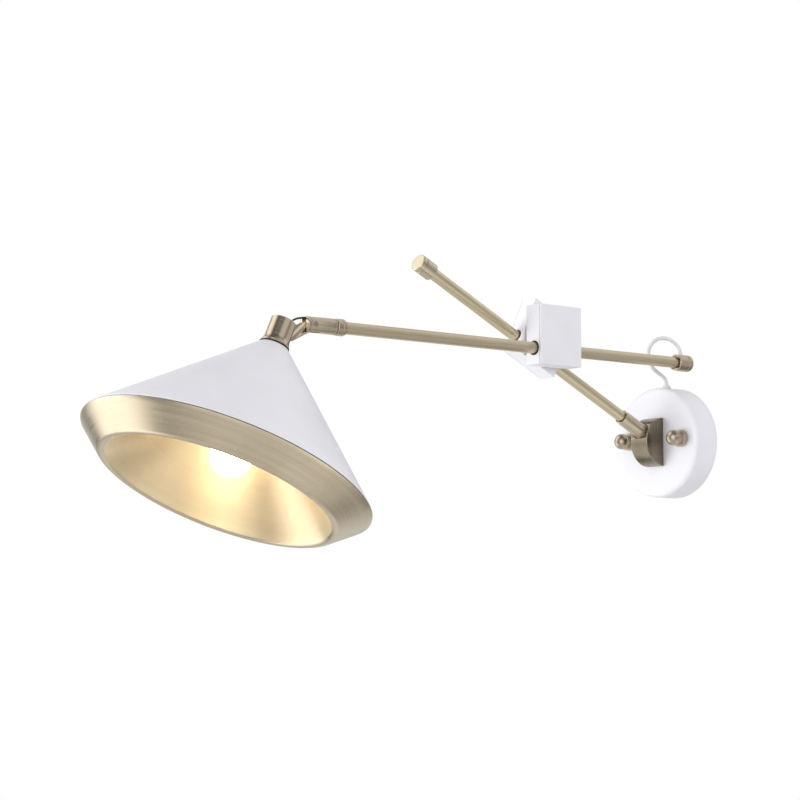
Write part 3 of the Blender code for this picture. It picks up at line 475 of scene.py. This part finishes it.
def lit_glass():
    """Frosted bulb glass, lit warm, and dimmer near its cap."""
    material, tree, shader = new_material("lamp_glass_fine", 0.35)
    split = add_node(tree, "ShaderNodeSeparateXYZ", Vector=own_place(tree))
    rising = ranged(tree, split.outputs["Z"], -0.100, -0.122, 3.0, BULB_GLOW)
    falling = ranged(tree, split.outputs["Z"], -0.138, -0.146, 1.0, 0.12)
    glow = add_node(tree, "ShaderNodeMath", {"operation": "MULTIPLY"})
    tree.links.new(rising, glow.inputs[0])
    tree.links.new(falling, glow.inputs[1])
    tree.links.new(glow.outputs[0], shader.inputs["Emission Strength"])
    frost = noise(tree, own_place(tree), 300.0, 3.0)
    body = mixed(tree, ranged(tree, frost, 0.3, 0.7, 0.0, 1.0), (0.86, 0.83, 0.76), (0.95, 0.93, 0.88))
    tree.links.new(body, shader.inputs["Base Color"])
    shader.inputs["Emission Color"].default_value = (*BULB_COLOUR, 1)
    bumped(tree, shader, frost, 0.02)
    return material


def hot_filament():
    """A coiled wire, glowing."""
    material, tree, shader = new_material("filament_fine", 0.4)
    coils = ring_noise(tree, 900.0, 1.0, 2.0)
    tree.links.new(mixed(tree, coils, (0.9, 0.5, 0.15), (1.0, 0.75, 0.35)), shader.inputs["Base Color"])
    shader.inputs["Emission Color"].default_value = (*BULB_COLOUR, 1)
    shader.inputs["Emission Strength"].default_value = 4.0
    return material


BULB_GLOW = 34.0
BULB_COLOUR = (1.0, 0.86, 0.56)

WHITE = paint("white_paint_fine", (0.81, 0.81, 0.84), 0.40)
BLOCK_WHITE = paint("white_block_paint_fine", (0.80, 0.80, 0.83), 0.36)
# A lighter copy of the blocks' white paint, used on the rear block as painted light.
LIT_REAR_WHITE = paint("rear_block_lit_paint_fine", (0.88, 0.88, 0.90), 0.36)
SATIN = brass(
    "satin_brass_fine", (0.68, 0.60, 0.41), (0.60, 0.52, 0.35), (0.85, 0.76, 0.55), 0.38,
    lambda tree: drawn_noise(tree, (900.0, 900.0, 9.0)), 0.003,
)
ROD_BRASS = brass(
    "antique_rod_fine", (0.66, 0.56, 0.39), (0.56, 0.475, 0.33), (0.78, 0.68, 0.50), 0.36,
    lambda tree: drawn_noise(tree, (900.0, 900.0, 9.0)), 0.006,
)
ANTIQUE = brass(
    "antique_brass_fine", (0.55, 0.465, 0.345), (0.45, 0.375, 0.275), (0.76, 0.67, 0.51), 0.24,
    lambda tree: ring_noise(tree, 900.0, 1.2), 0.008, 0.4,
)
FINIAL = brass(
    "finial_brass_fine", (0.50, 0.43, 0.32), (0.44, 0.375, 0.28), (0.60, 0.52, 0.40), 0.36,
    lambda tree: ring_noise(tree, 700.0, 1.2), 0.005,
)
# A copy of the antique brass darkened nearly to black, as painted shade on the knuckle's faces. Its much
# lighter edge colour is wear together with a painted highlight on the bevels.
SHADED_KNUCKLE_BRASS = brass(
    "knuckle_shaded_brass_fine", (0.100, 0.081, 0.060), (0.074, 0.059, 0.043), (0.42, 0.36, 0.26), 0.25,
    lambda tree: drawn_noise(tree, (900.0, 14.0, 900.0)), 0.005,
)
SATIN_TURNED = brass(
    "satin_turned_fine", (0.60, 0.53, 0.38), (0.53, 0.46, 0.33), (0.80, 0.73, 0.57), 0.32,
    lambda tree: ring_noise(tree, 900.0, 1.2), 0.008, 0.3,
)
BAND = brass(
    "band_brass_fine", (0.67, 0.575, 0.42), (0.52, 0.44, 0.315), (0.80, 0.71, 0.52), 0.27,
    lambda tree: ring_noise(tree, 420.0, 0.9), 0.020, 0.6,
)
REFLECTOR = brass(
    "reflector_brass_fine", (0.80, 0.66, 0.435), (0.72, 0.59, 0.385), (0.83, 0.72, 0.48), 0.40,
    lambda tree: ring_noise(tree, 420.0, 0.9), 0.015, 0.9,
)
REFLECTOR.node_tree.nodes["Principled BSDF"].inputs["Metallic"].default_value = 0.9
STEEL = steel()
CABLE = plastic("white_cable_fine", (0.80, 0.80, 0.80), 0.46, 0.03, 500.0)
BLACK = plastic("black_plastic_fine", (0.025, 0.025, 0.027), 0.45)
CREAM = plastic("cream_plastic_fine", (0.80, 0.76, 0.66), 0.42)
GLASS = lit_glass()
FILAMENT = hot_filament()


# ---------------------------------------------------------------- camera

CAMERA_PLACE = (1.4284, -1.5663, -0.1545)
CAMERA_PITCH = radians(95.293)
CAMERA_YAW = radians(49.233)
CAMERA_LENS = 103.5
SENSOR_WIDTH = 36


def add_camera():
    """The main view, from the shade's side and a little below the arm."""
    data = bpy.data.cameras.new("camera")
    data.lens = CAMERA_LENS
    data.sensor_width = SENSOR_WIDTH
    camera = bpy.data.objects.new("camera", data)
    camera.location = CAMERA_PLACE
    camera.rotation_euler = (CAMERA_PITCH, 0, CAMERA_YAW)
    bpy.context.scene.collection.objects.link(camera)
    bpy.context.scene.camera = camera


add_camera()


# ---------------------------------------------------------------- cables

def smooth_route(points, spacing):
    """Points along a smooth curve through a route, a set distance apart."""
    route = [Vector(p) for p in points]
    ends = [2 * route[0] - route[1]] + route + [2 * route[-1] - route[-2]]
    samples = []
    for p0, p1, p2, p3 in zip(ends, ends[1:], ends[2:], ends[3:]):
        for step in range(16):
            t = step / 16
            samples.append(0.5 * (
                2 * p1 + (p2 - p0) * t + (2 * p0 - 5 * p1 + 4 * p2 - p3) * t**2
                + (3 * p1 - p0 - 3 * p2 + p3) * t**3
            ))
    samples.append(route[-1])
    lengths = [0.0]
    for a, b in zip(samples, samples[1:]):
        lengths.append(lengths[-1] + (b - a).length)
    count = max(2, round(lengths[-1] / spacing))
    chosen = []
    k = 0
    for i in range(count + 1):
        wanted = lengths[-1] * i / count
        while k < len(samples) - 2 and lengths[k + 1] < wanted:
            k += 1
        share = (wanted - lengths[k]) / (lengths[k + 1] - lengths[k])
        chosen.append(samples[k].lerp(samples[k + 1], share))
    return chosen


def tube_rings(points, radius, sides):
    """Rings of points round a line, each turned as little as possible from the one before."""
    rings = []
    side = Vector((1, 0, 0))
    for i, point in enumerate(points):
        ahead = (points[min(i + 1, len(points) - 1)] - points[max(i - 1, 0)]).normalized()
        side = (side - ahead * side.dot(ahead)).normalized()
        other = ahead.cross(side)
        rings.append([
            point + (side * cos(2 * pi * k / sides) + other * sin(2 * pi * k / sides)) * radius
            for k in range(sides)
        ])
    return rings


def tube_mesh(rings, cap_first=False, cap_last=False):
    shape = bmesh.new()
    rows = [[shape.verts.new(p) for p in ring] for ring in rings]
    for upper, lower in zip(rows, rows[1:]):
        for k in range(len(upper)):
            j = (k + 1) % len(upper)
            shape.faces.new((upper[k], upper[j], lower[j], lower[k]))
    if cap_first:
        shape.faces.new(reversed(rows[0]))
    if cap_last:
        shape.faces.new(rows[-1])
    mesh = bpy.data.meshes.new("tube")
    shape.to_mesh(mesh)
    shape.free()
    return mesh


CORD_RADIUS = 1.75
LEAD_RADIUS = 0.8
CORD_CUTS = (0, 30, 40, 70)


def supply_cord():
    """The free loop of cable from the canopy to rod B, in four lengths that share their end rings."""
    route = [
        (0, -12.5, 47.6), (0, -12.5, 50.8), (0, -12.6, 54), (0.2, -14.8, 58.6), (0.6, -19.6, 61.6),
        (1.1, -26, 64.2), (1.8, -32.8, 68), (2.8, -38, 73), (4, -40.8, 79), (5.2, -40.6, 84.8),
        (6.4, -37.4, 90), (7.8, -31.6, 93.6), (9.5, -25, 94.8), (11.5, -18.2, 93.2), (13.6, -13.6, 89.4),
        (15.6, -11.8, 84.8), (17.2, -12.2, 81.2), (18.2, -13, 78.6), (18.65, -13.2, 76.85),
    ]
    points = smooth_route([Vector(p) * MM for p in route], 1.0 * MM)
    rings = tube_rings(points, CORD_RADIUS * MM, 24)
    step = sum((b - a).length for a, b in zip(points, points[1:])) / (len(points) - 1)
    cuts = [*CORD_CUTS, len(points) - 1]
    lengths = []
    for number, (first, last) in enumerate(zip(cuts, cuts[1:])):
        mesh = tube_mesh(rings[first:last + 1], number == 0, number == 3)
        piece = show(
            f"supply_cord_{number + 1}", mesh, Matrix(), None, CABLE, ["supply_cord"]
        )
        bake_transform(piece)
        lengths.append((piece, points[first:last + 1], step * (last - first)))
    for number, extra in ((0, lengths[1][0]), (2, None), (3, None)):
        piece, path, length = lengths[number]


def joint_lead():
    """Short black lead from the sleeve, over the hinge and into the cup."""
    route = [
        (0, 2.2, 14.6), (0, 2.2, 16.2), (0, 3.8, 18), (0, 5.3, 20.2), (0, 5.6, 23), (0, 5.4, 26.5),
        (0, 4.9, 30.5), (0, 4.3, 34.5), (0, 3.2, 38.5), (0, 1.6, 41.6), (0, -0.6, 43.9), (0, -3.4, 45.6),
        (0, -5.2, 46.4),
    ]
    points = smooth_route([HEAD @ (Vector(p) * MM) for p in route], 0.8 * MM)
    mesh = tube_mesh(tube_rings(points, LEAD_RADIUS * MM, 20), True, True)
    piece = show("joint_lead", mesh, Matrix(), None, BLACK)
    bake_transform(piece)


def cable_gland():
    """Grommet in the canopy's round side, with a soft nose and two thin ribs."""
    seat = 50 + GAP
    profile = softened([
        (2.05, seat + 3), (2.7, seat + 3, 0.25), (3.3, seat + 2.4, 0.4), (3.45, seat + 1.9, 0.15),
        (3.2, seat + 1.6, 0.15), (3.55, seat + 1.3, 0.15), (3.6, seat + 1.0, 0.2), (4.2, seat + 0.8, 0.25),
        (4.2, seat, 0.15), (3, seat), (3, 48.1), (4.2, 48.1), (4.2, 45.5, 0.4), (2.05, 45.5),
    ], closed=True)
    place = Matrix.Translation((0, -12.5 * MM, 0))
    show("cable_gland", lathe(profile, True), place, "root", CABLE)


supply_cord()
joint_lead()
cable_gland()


# ---------------------------------------------------------------- canopy and finials

STUD_X = 32
STUD_RISE = 2
CANOPY_FACE = 28


def canopy():
    """Spun cup with a soft front edge and a shallow seam near the wall."""
    outside = [(0, CANOPY_FACE), (38, CANOPY_FACE), *arc((45.2, 23.2), 4.8, 90, 0, 10)]
    seam = softened([(50, 4.0), (50, 3.2, 0.15), (49.72, 2.9, 0.1), (50, 2.6, 0.15), (50, 1.8)])
    back = softened([(50, 1.6), (50, 0.5, 0.3), (48.8, 0.5), (48.8, 4)])
    inside = [*arc((45.2, 23.2), 3.6, 0, 90, 8), (0, 26.8)]
    holes = [rod_mesh(2.3, 12, (x, STUD_RISE, CANOPY_FACE)) for x in (-STUD_X, STUD_X)]
    holes.append(rod_mesh(5.3, 12, (0, 0, CANOPY_FACE)))
    holes.append(rod_mesh(3.3, 12, (0, 50, 12.5), "Y"))
    mesh = cut(lathe([*outside, (50, 4.2), *seam, *back, *inside], steps=SHADE_STEPS), *holes)
    show("canopy", mesh, WALL, "root", WHITE)


def finial(label, x):
    """Domed nut with a turned groove between the dome and its collar."""
    dome = arc((0, 10), 7.1, 90, -26, 22)
    low = softened([
        dome[-1], (6.5, 5.6, 0.3), (6.3, 5.0, 0.2), (7.4, 4.8, 0.3), (7.7, 4.4, 0.35), (7.7, 0.9, 0.3),
        (7.5, 0.4, 0.2), (7.1, 0, 0.2), (2.3, 0), (2.3, 11), (0, 11),
    ])
    place = WALL @ Matrix.Translation((x * MM, STUD_RISE * MM, (CANOPY_FACE + GAP) * MM))
    show("finial_nut_" + label, lathe(dome[:-1] + low), place, "root", FINIAL)


canopy()
finial("left", -STUD_X)
finial("right", STUD_X)


# ---------------------------------------------------------------- wall knuckle, rod A and its collar

def wall_knuckle():
    """Half disc with its flat side on the canopy and crisp, slightly eased edges."""
    radius = 22
    steps = 72
    angles = [pi * i / steps for i in range(steps + 1)]
    outline = [(radius * cos(a), radius * sin(a)) for a in angles]
    mesh = bevelled(plate_mesh(outline, 20), 0.6, 3)
    lean = Matrix.Rotation(-ROD_A_ANGLE, 4, "X")
    bore = rod_mesh(5.3, 40, (0, 0, 27))
    seat = rod_mesh(7.1, 20, (0, 0, 30.5))
    bore.transform(lean)
    seat.transform(lean)
    show(
        "wall_knuckle", cut(mesh, rod_mesh(5.3, 22), bore, seat), ARM, "arm", SHADED_KNUCKLE_BRASS
    )


def arm_collar():
    """Ferrule between the wall knuckle and rod A, with a fine line turned near its foot."""
    profile = softened([
        (6.1, 49, 0.15), (6.75, 49, 0.3), (6.75, 22.2), (6.75, 21.9, 0.1), (6.6, 21.7, 0.1),
        (6.75, 21.5, 0.1), (6.75, 20.8, 0.3), (5.3, 20.8), (5.3, 47.4), (6.1, 47.4),
    ], closed=True)
    show("arm_collar", lathe(profile, True), ROD_A, "arm", SATIN_TURNED)


def tube(outer, inner, low, high, edge=0.3):
    """A tube about Z, from low to high, with eased outer edges and a few rings along it."""
    rings = [(outer, high + (low - high) * i / 8) for i in range(1, 8)]
    return lathe(softened([
        (inner, high, 0.1), (outer, high, edge), *rings, (outer, low, edge), (inner, low, 0.1),
    ], closed=True), True)


def end_cap_profile(flip):
    """Cap over a rod's end: a flat face with eased edge, a groove, and a recessed mouth round the rod. Depth
    runs from the closed face, and flip is -1 where that runs towards lower Z."""
    corners = [
        (0, 0), (5.5, 0), (7.5, 0, 0.7), (7.5, 4.1), (7.5, 4.5, 0.15), (7.0, 4.75, 0.15), (7.0, 5.25, 0.15),
        (7.5, 5.5, 0.15), (7.5, 5.9), (7.5, 17, 0.5), (6.3, 17, 0.15), (6.3, 15.4), (5.3, 15.4),
        (5.3, 2.7), (0, 2.7),
    ]
    return softened([(c[0], flip * c[1], *c[2:]) for c in corners])


def rod_a():
    """Rod fixed in the wall knuckle, with its end cap."""
    low = 7.6
    end = 318
    show("rod_a", tube(5, 4, low, end - 4), ROD_A, "arm", SATIN)
    place = ROD_A @ Matrix.Translation((0, 0, end * MM))
    show("rod_a_end_cap", lathe(end_cap_profile(-1)), place, "arm", SATIN_TURNED)


wall_knuckle()
arm_collar()
rod_a()


# ---------------------------------------------------------------- the two blocks

BLOCK_SIZE = (18, 49, 52)
COVER = 1.8
ROD_OFFSET = 11.7
NUT_DEPTH = 6.5
NUT_CUTTER = 20


def slider(prefix, place, outer_side):
    """One square block: a body, a cover plate with a fine seam round it, and the bush round the rod."""
    thickness, length, height = BLOCK_SIZE
    body_x = thickness - COVER - GAP
    centre = outer_side * (body_x - thickness) / 2
    pocket = outer_side * (thickness / 2 - COVER - GAP - NUT_DEPTH + NUT_CUTTER / 2)
    body = cut(
        box_mesh((body_x, length, height), (centre, 0, 0)),
        rod_mesh(6.25, 80, (0, 0, -ROD_OFFSET), "Y"),
        rod_mesh(2.8, 40, (0, 0, 0), "X", 32),
        rod_mesh(4.6, NUT_CUTTER, (pocket, 0, 0), "X", 32),
    )
    rider = prefix + "_slider"
    # The rear block takes the lighter copy of the paint: painted light.
    coat = BLOCK_WHITE if prefix == "front" else LIT_REAR_WHITE
    show(prefix + "_block", bevelled(body, 0.8, 3), place, rider, coat)
    plate = box_mesh((COVER, length, height), (outer_side * (thickness - COVER) / 2, 0, 0))
    show(prefix + "_cover_plate", bevelled(plate, 0.7, 4), place, rider, coat)
    bush = tube(5.95, 5.3, -length / 2 + 0.8, length / 2 - 0.8, 0.2)
    bore = place @ Matrix.Translation((0, 0, -ROD_OFFSET * MM)) @ OUTWARD
    show(prefix + "_bush", bush, bore, rider, BLACK)


slider("rear", REAR, -1)
slider("front", FRONT, 1)


# ---------------------------------------------------------------- rod B, its sleeve and the hinge

HINGE_DISTANCE = 23
CORD_HOLE_ANGLE = radians(105)


def rod_b():
    """The sliding rod, with its end cap on the wall side and the ring behind the sleeve."""
    sleeve_start = (ROD_B_END.y - SLEEVE_MOUTH.y) / MM
    show("rod_b", tube(5, 4, 12.5, sleeve_start + 13.5), ROD_B, "sliding_rod", ROD_BRASS)
    hole = rod_mesh(2.35, 8, (0, 0, 7.5), "Z", 32)
    hole.transform(Matrix.Rotation(pi / 2, 4, "Y"))
    hole.transform(Matrix.Translation((0, 0, 7.7 * MM)) @ Matrix.Rotation(CORD_HOLE_ANGLE, 4, "Z"))
    cap = cut(lathe(end_cap_profile(1)), hole)
    show("rod_b_end_cap", cap, ROD_B, "sliding_rod", ANTIQUE)
    high = sleeve_start - GAP
    low = high - 10
    ring = softened([
        (5.3, high), (6.9, high, 0.3), (6.9, low + 5.4), (6.9, low + 5.0, 0.15), (6.65, low + 4.8, 0.12),
        (6.9, low + 4.6, 0.15), (6.9, low + 1.8, 0.9), (6.1, low + 0.3, 0.5), (5.3, low),
    ], closed=True)
    show("sleeve_ring", lathe(ring, True), ROD_B, "sliding_rod", ANTIQUE)


def fork_sleeve():
    """Sleeve on rod B's end, bored from the rod side and slotted for the tongue, and its hinge pin."""
    profile = softened([
        (0, 30), (6.5, 30, 0.5), (6.5, 27.6), (6.5, 27.3, 0.1), (6.35, 27.1, 0.1), (6.5, 26.9, 0.1),
        (6.5, 2.4), (6.5, 2.1, 0.1), (6.35, 1.9, 0.1), (6.5, 1.7, 0.1), (6.5, 0, 0.3), (5.3, 0), (5.3, 14),
        (0, 14),
    ])
    mesh = cut(
        lathe(profile), box_mesh((5.2, 20, 20), (0, 0, 26)), rod_mesh(1.4, 8, (0, 2.2, 15), "Z", 32),
        rod_mesh(2.3, 20, (0, 0, HINGE_DISTANCE), "X", 32),
    )
    show("fork_sleeve", mesh, HEAD, "head", ANTIQUE)
    pin = softened([(0, 6.3), (2.25, 6.3, 0.1), (2.25, 0), (2.25, -6.3, 0.1), (0, -6.3)])
    place = HEAD @ Matrix.Translation((0, 0, HINGE_DISTANCE * MM)) @ Matrix.Rotation(pi / 2, 4, "Y")
    show("hinge_pin", lathe(pin, steps=48), place, "head", ANTIQUE)


rod_b()
fork_sleeve()


# ---------------------------------------------------------------- tongue, cup and neck

CUP_RADIUS = 10.3
CUP_TOP = -10.9
CUP_BASE = -32.8
TONGUE_HEIGHT = -18.5


def knuckle_tongue():
    """Flat tongue from the hinge pin to the cup. Its outline is the band round three discs."""
    near = -AXIS_OFFSET + CUP_RADIUS
    root = Vector((near - 1, TONGUE_HEIGHT + 0.5))
    discs = ((Vector((0, 0)), 4.5), (Vector((near - 0.9, CUP_TOP - 1.5)), 0.9), (root, 5.2))
    outline = []
    for i in range(96):
        way = Vector((cos(2 * pi * i / 96), sin(2 * pi * i / 96)))
        centre, radius = max(discs, key=lambda disc: disc[0].dot(way) + disc[1])
        outline.append(tuple(centre + way * radius))
    mesh = bevelled(plate_mesh(outline, 4.4), 0.5, 3)
    mesh = cut(
        mesh, rod_mesh(2.3, 20, (0, 0, 0), "X", 32), rod_mesh(CUP_RADIUS + GAP, 60, (0, -AXIS_OFFSET, -25)),
        rod_mesh(1.23, 13, (0, root.x, TONGUE_HEIGHT), "Y", 32),
    )
    show("knuckle_tongue", mesh, SHADE_FRAME, "shade", ANTIQUE)


def neck_cup():
    """Turned cup with a beaded foot that flares on to the shade."""
    profile = softened([
        (0, CUP_TOP), (8, CUP_TOP), (CUP_RADIUS, CUP_TOP, 0.9), (CUP_RADIUS, -26.6), (10.35, -27.4, 1.0),
        (10.5, -28.2), (10.85, -29.6), (11.3, -30.7, 1.5), (11.6, -31.4, 0.3), (11.4, -31.7, 0.15),
        (12, -31.9, 0.3), (12, CUP_BASE, 0.25), (5.3, CUP_BASE), (5.3, -23), (8, -23), (8, CUP_TOP - 2),
        (0, CUP_TOP - 2),
    ])
    mesh = cut(
        lathe(profile, steps=96), rod_mesh(1.23, 6, (0, 9.15, TONGUE_HEIGHT), "Y", 32),
        rod_mesh(1.1, 6, (0, 5.6, CUP_TOP), "Z", 32),
    )
    show("neck_cup", mesh, SHADE, "shade", ANTIQUE)
    gasket = tube(12.3, 5.3, CUP_BASE - GAP - 0.9, CUP_BASE - GAP, 0.3)
    show("neck_gasket", gasket, SHADE, "shade", BLACK)


knuckle_tongue()
neck_cup()


# ---------------------------------------------------------------- shade, reflector, lip and lamp

RIM = -140.8
RIM_RADIUS = 118
TOP = RIM + 106.5
NECK_RADIUS = 12.2
SHEET = 0.9
SLOPE = (RIM_RADIUS - NECK_RADIUS) / (TOP - RIM)
INSET = SHEET * hypot(1, SLOPE)


def between(first, last, count):
    """Points from first to last, without either end."""
    return [
        tuple(a + (b - a) * i / (count + 1) for a, b in zip(first, last)) for i in range(1, count + 1)
    ]


def shade_outer():
    """White spun cone with a rolled hem."""
    roof = TOP - 1.2
    roof_radius = NECK_RADIUS + (TOP - roof) * SLOPE - INSET
    neck = (NECK_RADIUS, TOP, 0.8)
    hem = (RIM_RADIUS, RIM, 0.35)
    profile = [
        (5.3, TOP), neck, *between(neck[:2], hem[:2], 7), hem, (RIM_RADIUS - INSET, RIM, 0.3),
        (roof_radius, roof), (5.3, roof),
    ]
    mesh = lathe(softened(profile, closed=True), True, SHADE_STEPS)
    show("shade_outer", mesh, SHADE, "shade", WHITE)


ROLL = 5
ROLL_CENTRE = (95, RIM - 20 + ROLL)


def brass_liner():
    """The band below the white rim, with a soft lip turned in round the mouth, and the cone that carries on
    from the lip up to a flat top round the lamp holder. A ledge on the band closes the seam at the rim."""
    top = RIM - GAP
    to_roll = (ROLL_CENTRE[0] - RIM_RADIUS, ROLL_CENTRE[1] - top)
    tilt = atan2(to_roll[1], to_roll[0]) + asin(ROLL / hypot(*to_roll))
    start = 90 + degrees(tilt)
    outside = arc(ROLL_CENTRE, ROLL, start, -135, 24)
    inside = arc(ROLL_CENTRE, ROLL - SHEET, -135, start, 16)
    thickness = SHEET / abs(sin(tilt))
    edge = (RIM_RADIUS + 0.3, top - 0.3, 1.6)
    band = [
        (RIM_RADIUS - 1.3, top), (RIM_RADIUS - 1.3, top - 0.5), edge, *between(edge[:2], outside[0], 5),
        *outside, *inside, (RIM_RADIUS - thickness - 0.6, top - 1.2), (RIM_RADIUS - 3, top - 0.9),
        (RIM_RADIUS - 3, top),
    ]
    mesh = lathe(softened(band, closed=True), True, SHADE_STEPS)
    show("lip_band", mesh, SHADE, "shade", BAND)
    flat = -92
    foot = (outside[-1][0] - 0.02, outside[-1][1] + 0.02)
    back_foot = (inside[0][0] - 0.02, inside[0][1] + 0.02)
    top_edge = (foot[0] - (flat - foot[1]), flat)
    back_edge = (top_edge[0] + SHEET * (2**0.5 - 1), flat + SHEET)
    cone = [
        foot, *between(foot, top_edge, 11), (*top_edge, 2.5), (14.4, flat), (14.4, flat + SHEET),
        (*back_edge, 2), *between(back_edge, back_foot, 5), back_foot,
    ]
    mesh = lathe(softened(cone, closed=True), True, SHADE_STEPS)
    show("inner_reflector", mesh, SHADE, "shade", REFLECTOR)


def lamp():
    """Ribbed lamp holder and the lit bulb."""
    ribs = []
    for i in range(5):
        z = -78 - i * 3
        ribs += [(13, z, 0.3), (12.5, z - 0.5, 0.2), (12.5, z - 1.0, 0.2), (13, z - 1.5, 0.3)]
    holder = softened([
        (5.3, -40.1), (9, -40.1, 0.5), (9, -46, 0.3), (12, -47, 0.6), (13, -48, 0.6), *ribs, (13, -95, 0.9),
        (7.4, -95, 0.4), (7.4, -72), (5.3, -72),
    ], closed=True)
    show("lamp_holder", lathe(holder, True, 96), SHADE, "shade", CREAM)
    globe = 16
    centre = (0, -130.2)
    neck = -98.3
    inner = arc(centre, globe - 0.8, -90, 50, 24)
    outer = arc(centre, globe, 50, -90, 32)
    first = outer[0]
    flank = [(6.7 + (first[0] - 6.7) * t**1.6, neck + (first[1] - neck) * t) for t in (0.2, 0.4, 0.6, 0.8)]
    glass = lathe([*inner, (5.9, neck), (6.7, neck), *flank, *outer], steps=96)
    show("bulb_glass", glass, SHADE, "shade", GLASS)


shade_outer()
brass_liner()
lamp()


# ---------------------------------------------------------------- CAD nodes that stay, with finer materials

KEPT = {
    "zinc_steel": STEEL,
    "white_cable": CABLE,
    "cream_plastic": CREAM,
    "black_plastic": BLACK,
    "filament": FILAMENT,
}
KEPT_NODES = {
    "zinc_steel": [
        "mounting_bracket", "stud_left", "stud_right", "stud_nut_left", "stud_nut_right", "earth_screw",
        "knuckle_nipple", "knuckle_washer", "knuckle_nut", "pivot_bolt", "pivot_spring_washer", "pivot_nut",
        "tongue_screw", "neck_nipple", "neck_nut", "bulb_cap",
    ],
    "white_cable": ["canopy_lead", "rod_lead"],
    "cream_plastic": ["terminal_block"],
    "black_plastic": ["pivot_disc"],
    "filament": ["bulb_filament"],
}
for finish, names in KEPT_NODES.items():
    for name in names:
        mesh = frame["nodes"][name].data
        keep_own_place(mesh, Matrix())
        mesh.materials.clear()
        mesh.materials.append(KEPT[finish])


# ---------------------------------------------------------------- floor and light

# Soft panels of light that metal mirrors: direction, angles where each starts and stops fading, and level
PANELS = [
    ((-0.62, -0.46, 0.62), 12, 34, 1.7),
    ((-0.8, -0.42, -0.36), 10, 34, 1.8),
    ((0.92, 0.1, 0.4), 8, 34, 0.8),
    ((0.0, 0.65, 0.75), 14, 46, 0.75),
    ((0.3, 0.75, 0.05), 8, 38, 0.6),
    ((0.75, 0.3, -0.6), 8, 36, 0.55),
    ((0.1, -0.2, -1.0), 24, 66, 0.62),
    ((-0.66, 0.54, -0.5), 8, 36, 0.62),
    ((-0.9, 0.4, 0.3), 8, 34, 0.6),
    ((-0.74, -0.65, 0.16), 4, 17, 1.7),
    ((0.50, -0.86, 0.05), 6, 40, 1.9),
]
DIM_LEVEL = 0.18
ROOM_LEVEL = 0.74
FLOOR_HEIGHT = -1.1
FLOOR_RADIUS = 3.0
MIDDLE = (0.02, -0.3, 0)


def add_floor():
    """Pale floor below the lamp."""
    shape = bmesh.new()
    bmesh.ops.create_circle(shape, cap_ends=True, segments=96, radius=FLOOR_RADIUS)
    mesh = to_mesh(shape)
    material, _, shader = new_material("floor", 0.75)
    shader.inputs["Base Color"].default_value = (0.86, 0.86, 0.86, 1)
    mesh.materials.append(material)
    floor = bpy.data.objects.new("floor", mesh)
    floor.location = (0, 0, FLOOR_HEIGHT)
    floor.visible_glossy = False
    bpy.context.scene.collection.objects.link(floor)


def add_softbox(name, place, target, size, power):
    data = bpy.data.lights.new(name, "AREA")
    data.size = size
    data.energy = power
    light = bpy.data.objects.new(name, data)
    light.visible_glossy = False
    light.location = place
    light.rotation_euler = (Vector(target) - Vector(place)).to_track_quat("-Z", "Y").to_euler()
    bpy.context.scene.collection.objects.link(light)


def add_world():
    """White to the camera and an even soft room for diffuse light. Metal mirrors a dim studio with soft
    panels in it."""
    world = bpy.data.worlds.new("studio")
    bpy.context.scene.world = world
    world.use_nodes = True
    tree = world.node_tree
    tree.nodes.clear()
    way = add_node(tree, "ShaderNodeTexCoord").outputs["Generated"]
    total = None
    for direction, near, far, level in PANELS:
        facing = add_node(tree, "ShaderNodeVectorMath", {"operation": "DOT_PRODUCT"})
        tree.links.new(way, facing.inputs[0])
        facing.inputs[1].default_value = Vector(direction).normalized()
        panel = add_node(
            tree, "ShaderNodeMapRange", {"interpolation_type": "SMOOTHSTEP"}, Value=facing.outputs["Value"]
        )
        panel.inputs["From Min"].default_value = cos(radians(far))
        panel.inputs["From Max"].default_value = cos(radians(near))
        panel.inputs["To Max"].default_value = level
        if total is None:
            total = panel.outputs[0]
            continue
        both = add_node(tree, "ShaderNodeMath", {"operation": "ADD"})
        tree.links.new(total, both.inputs[0])
        tree.links.new(panel.outputs[0], both.inputs[1])
        total = both.outputs[0]
    glossy = add_node(tree, "ShaderNodeBackground", Color=(1, 1, 1, 1), Strength=total)
    dim = add_node(tree, "ShaderNodeBackground", Color=(1, 1, 1, 1), Strength=DIM_LEVEL)
    studio = add_node(tree, "ShaderNodeAddShader")
    tree.links.new(glossy.outputs[0], studio.inputs[0])
    tree.links.new(dim.outputs[0], studio.inputs[1])
    diffuse = add_node(tree, "ShaderNodeBackground", Color=(0.97, 0.97, 1.0, 1), Strength=ROOM_LEVEL)
    white = add_node(tree, "ShaderNodeBackground", Color=(1, 1, 1, 1), Strength=1.0)
    path = add_node(tree, "ShaderNodeLightPath")
    room = add_node(tree, "ShaderNodeMixShader", Fac=path.outputs["Is Glossy Ray"])
    tree.links.new(diffuse.outputs[0], room.inputs[1])
    tree.links.new(studio.outputs[0], room.inputs[2])
    seen = add_node(tree, "ShaderNodeMixShader", Fac=path.outputs["Is Camera Ray"])
    tree.links.new(room.outputs[0], seen.inputs[1])
    tree.links.new(white.outputs[0], seen.inputs[2])
    output = add_node(tree, "ShaderNodeOutputWorld")
    tree.links.new(seen.outputs[0], output.inputs["Surface"])


add_floor()
add_softbox("key", (-1.0, -2.4, -0.1), MIDDLE, 1.6, 37)
add_softbox("fill", (2.2, -0.3, 0.9), MIDDLE, 1.4, 14)
add_world()
bpy.context.scene.view_settings.view_transform = "Standard"
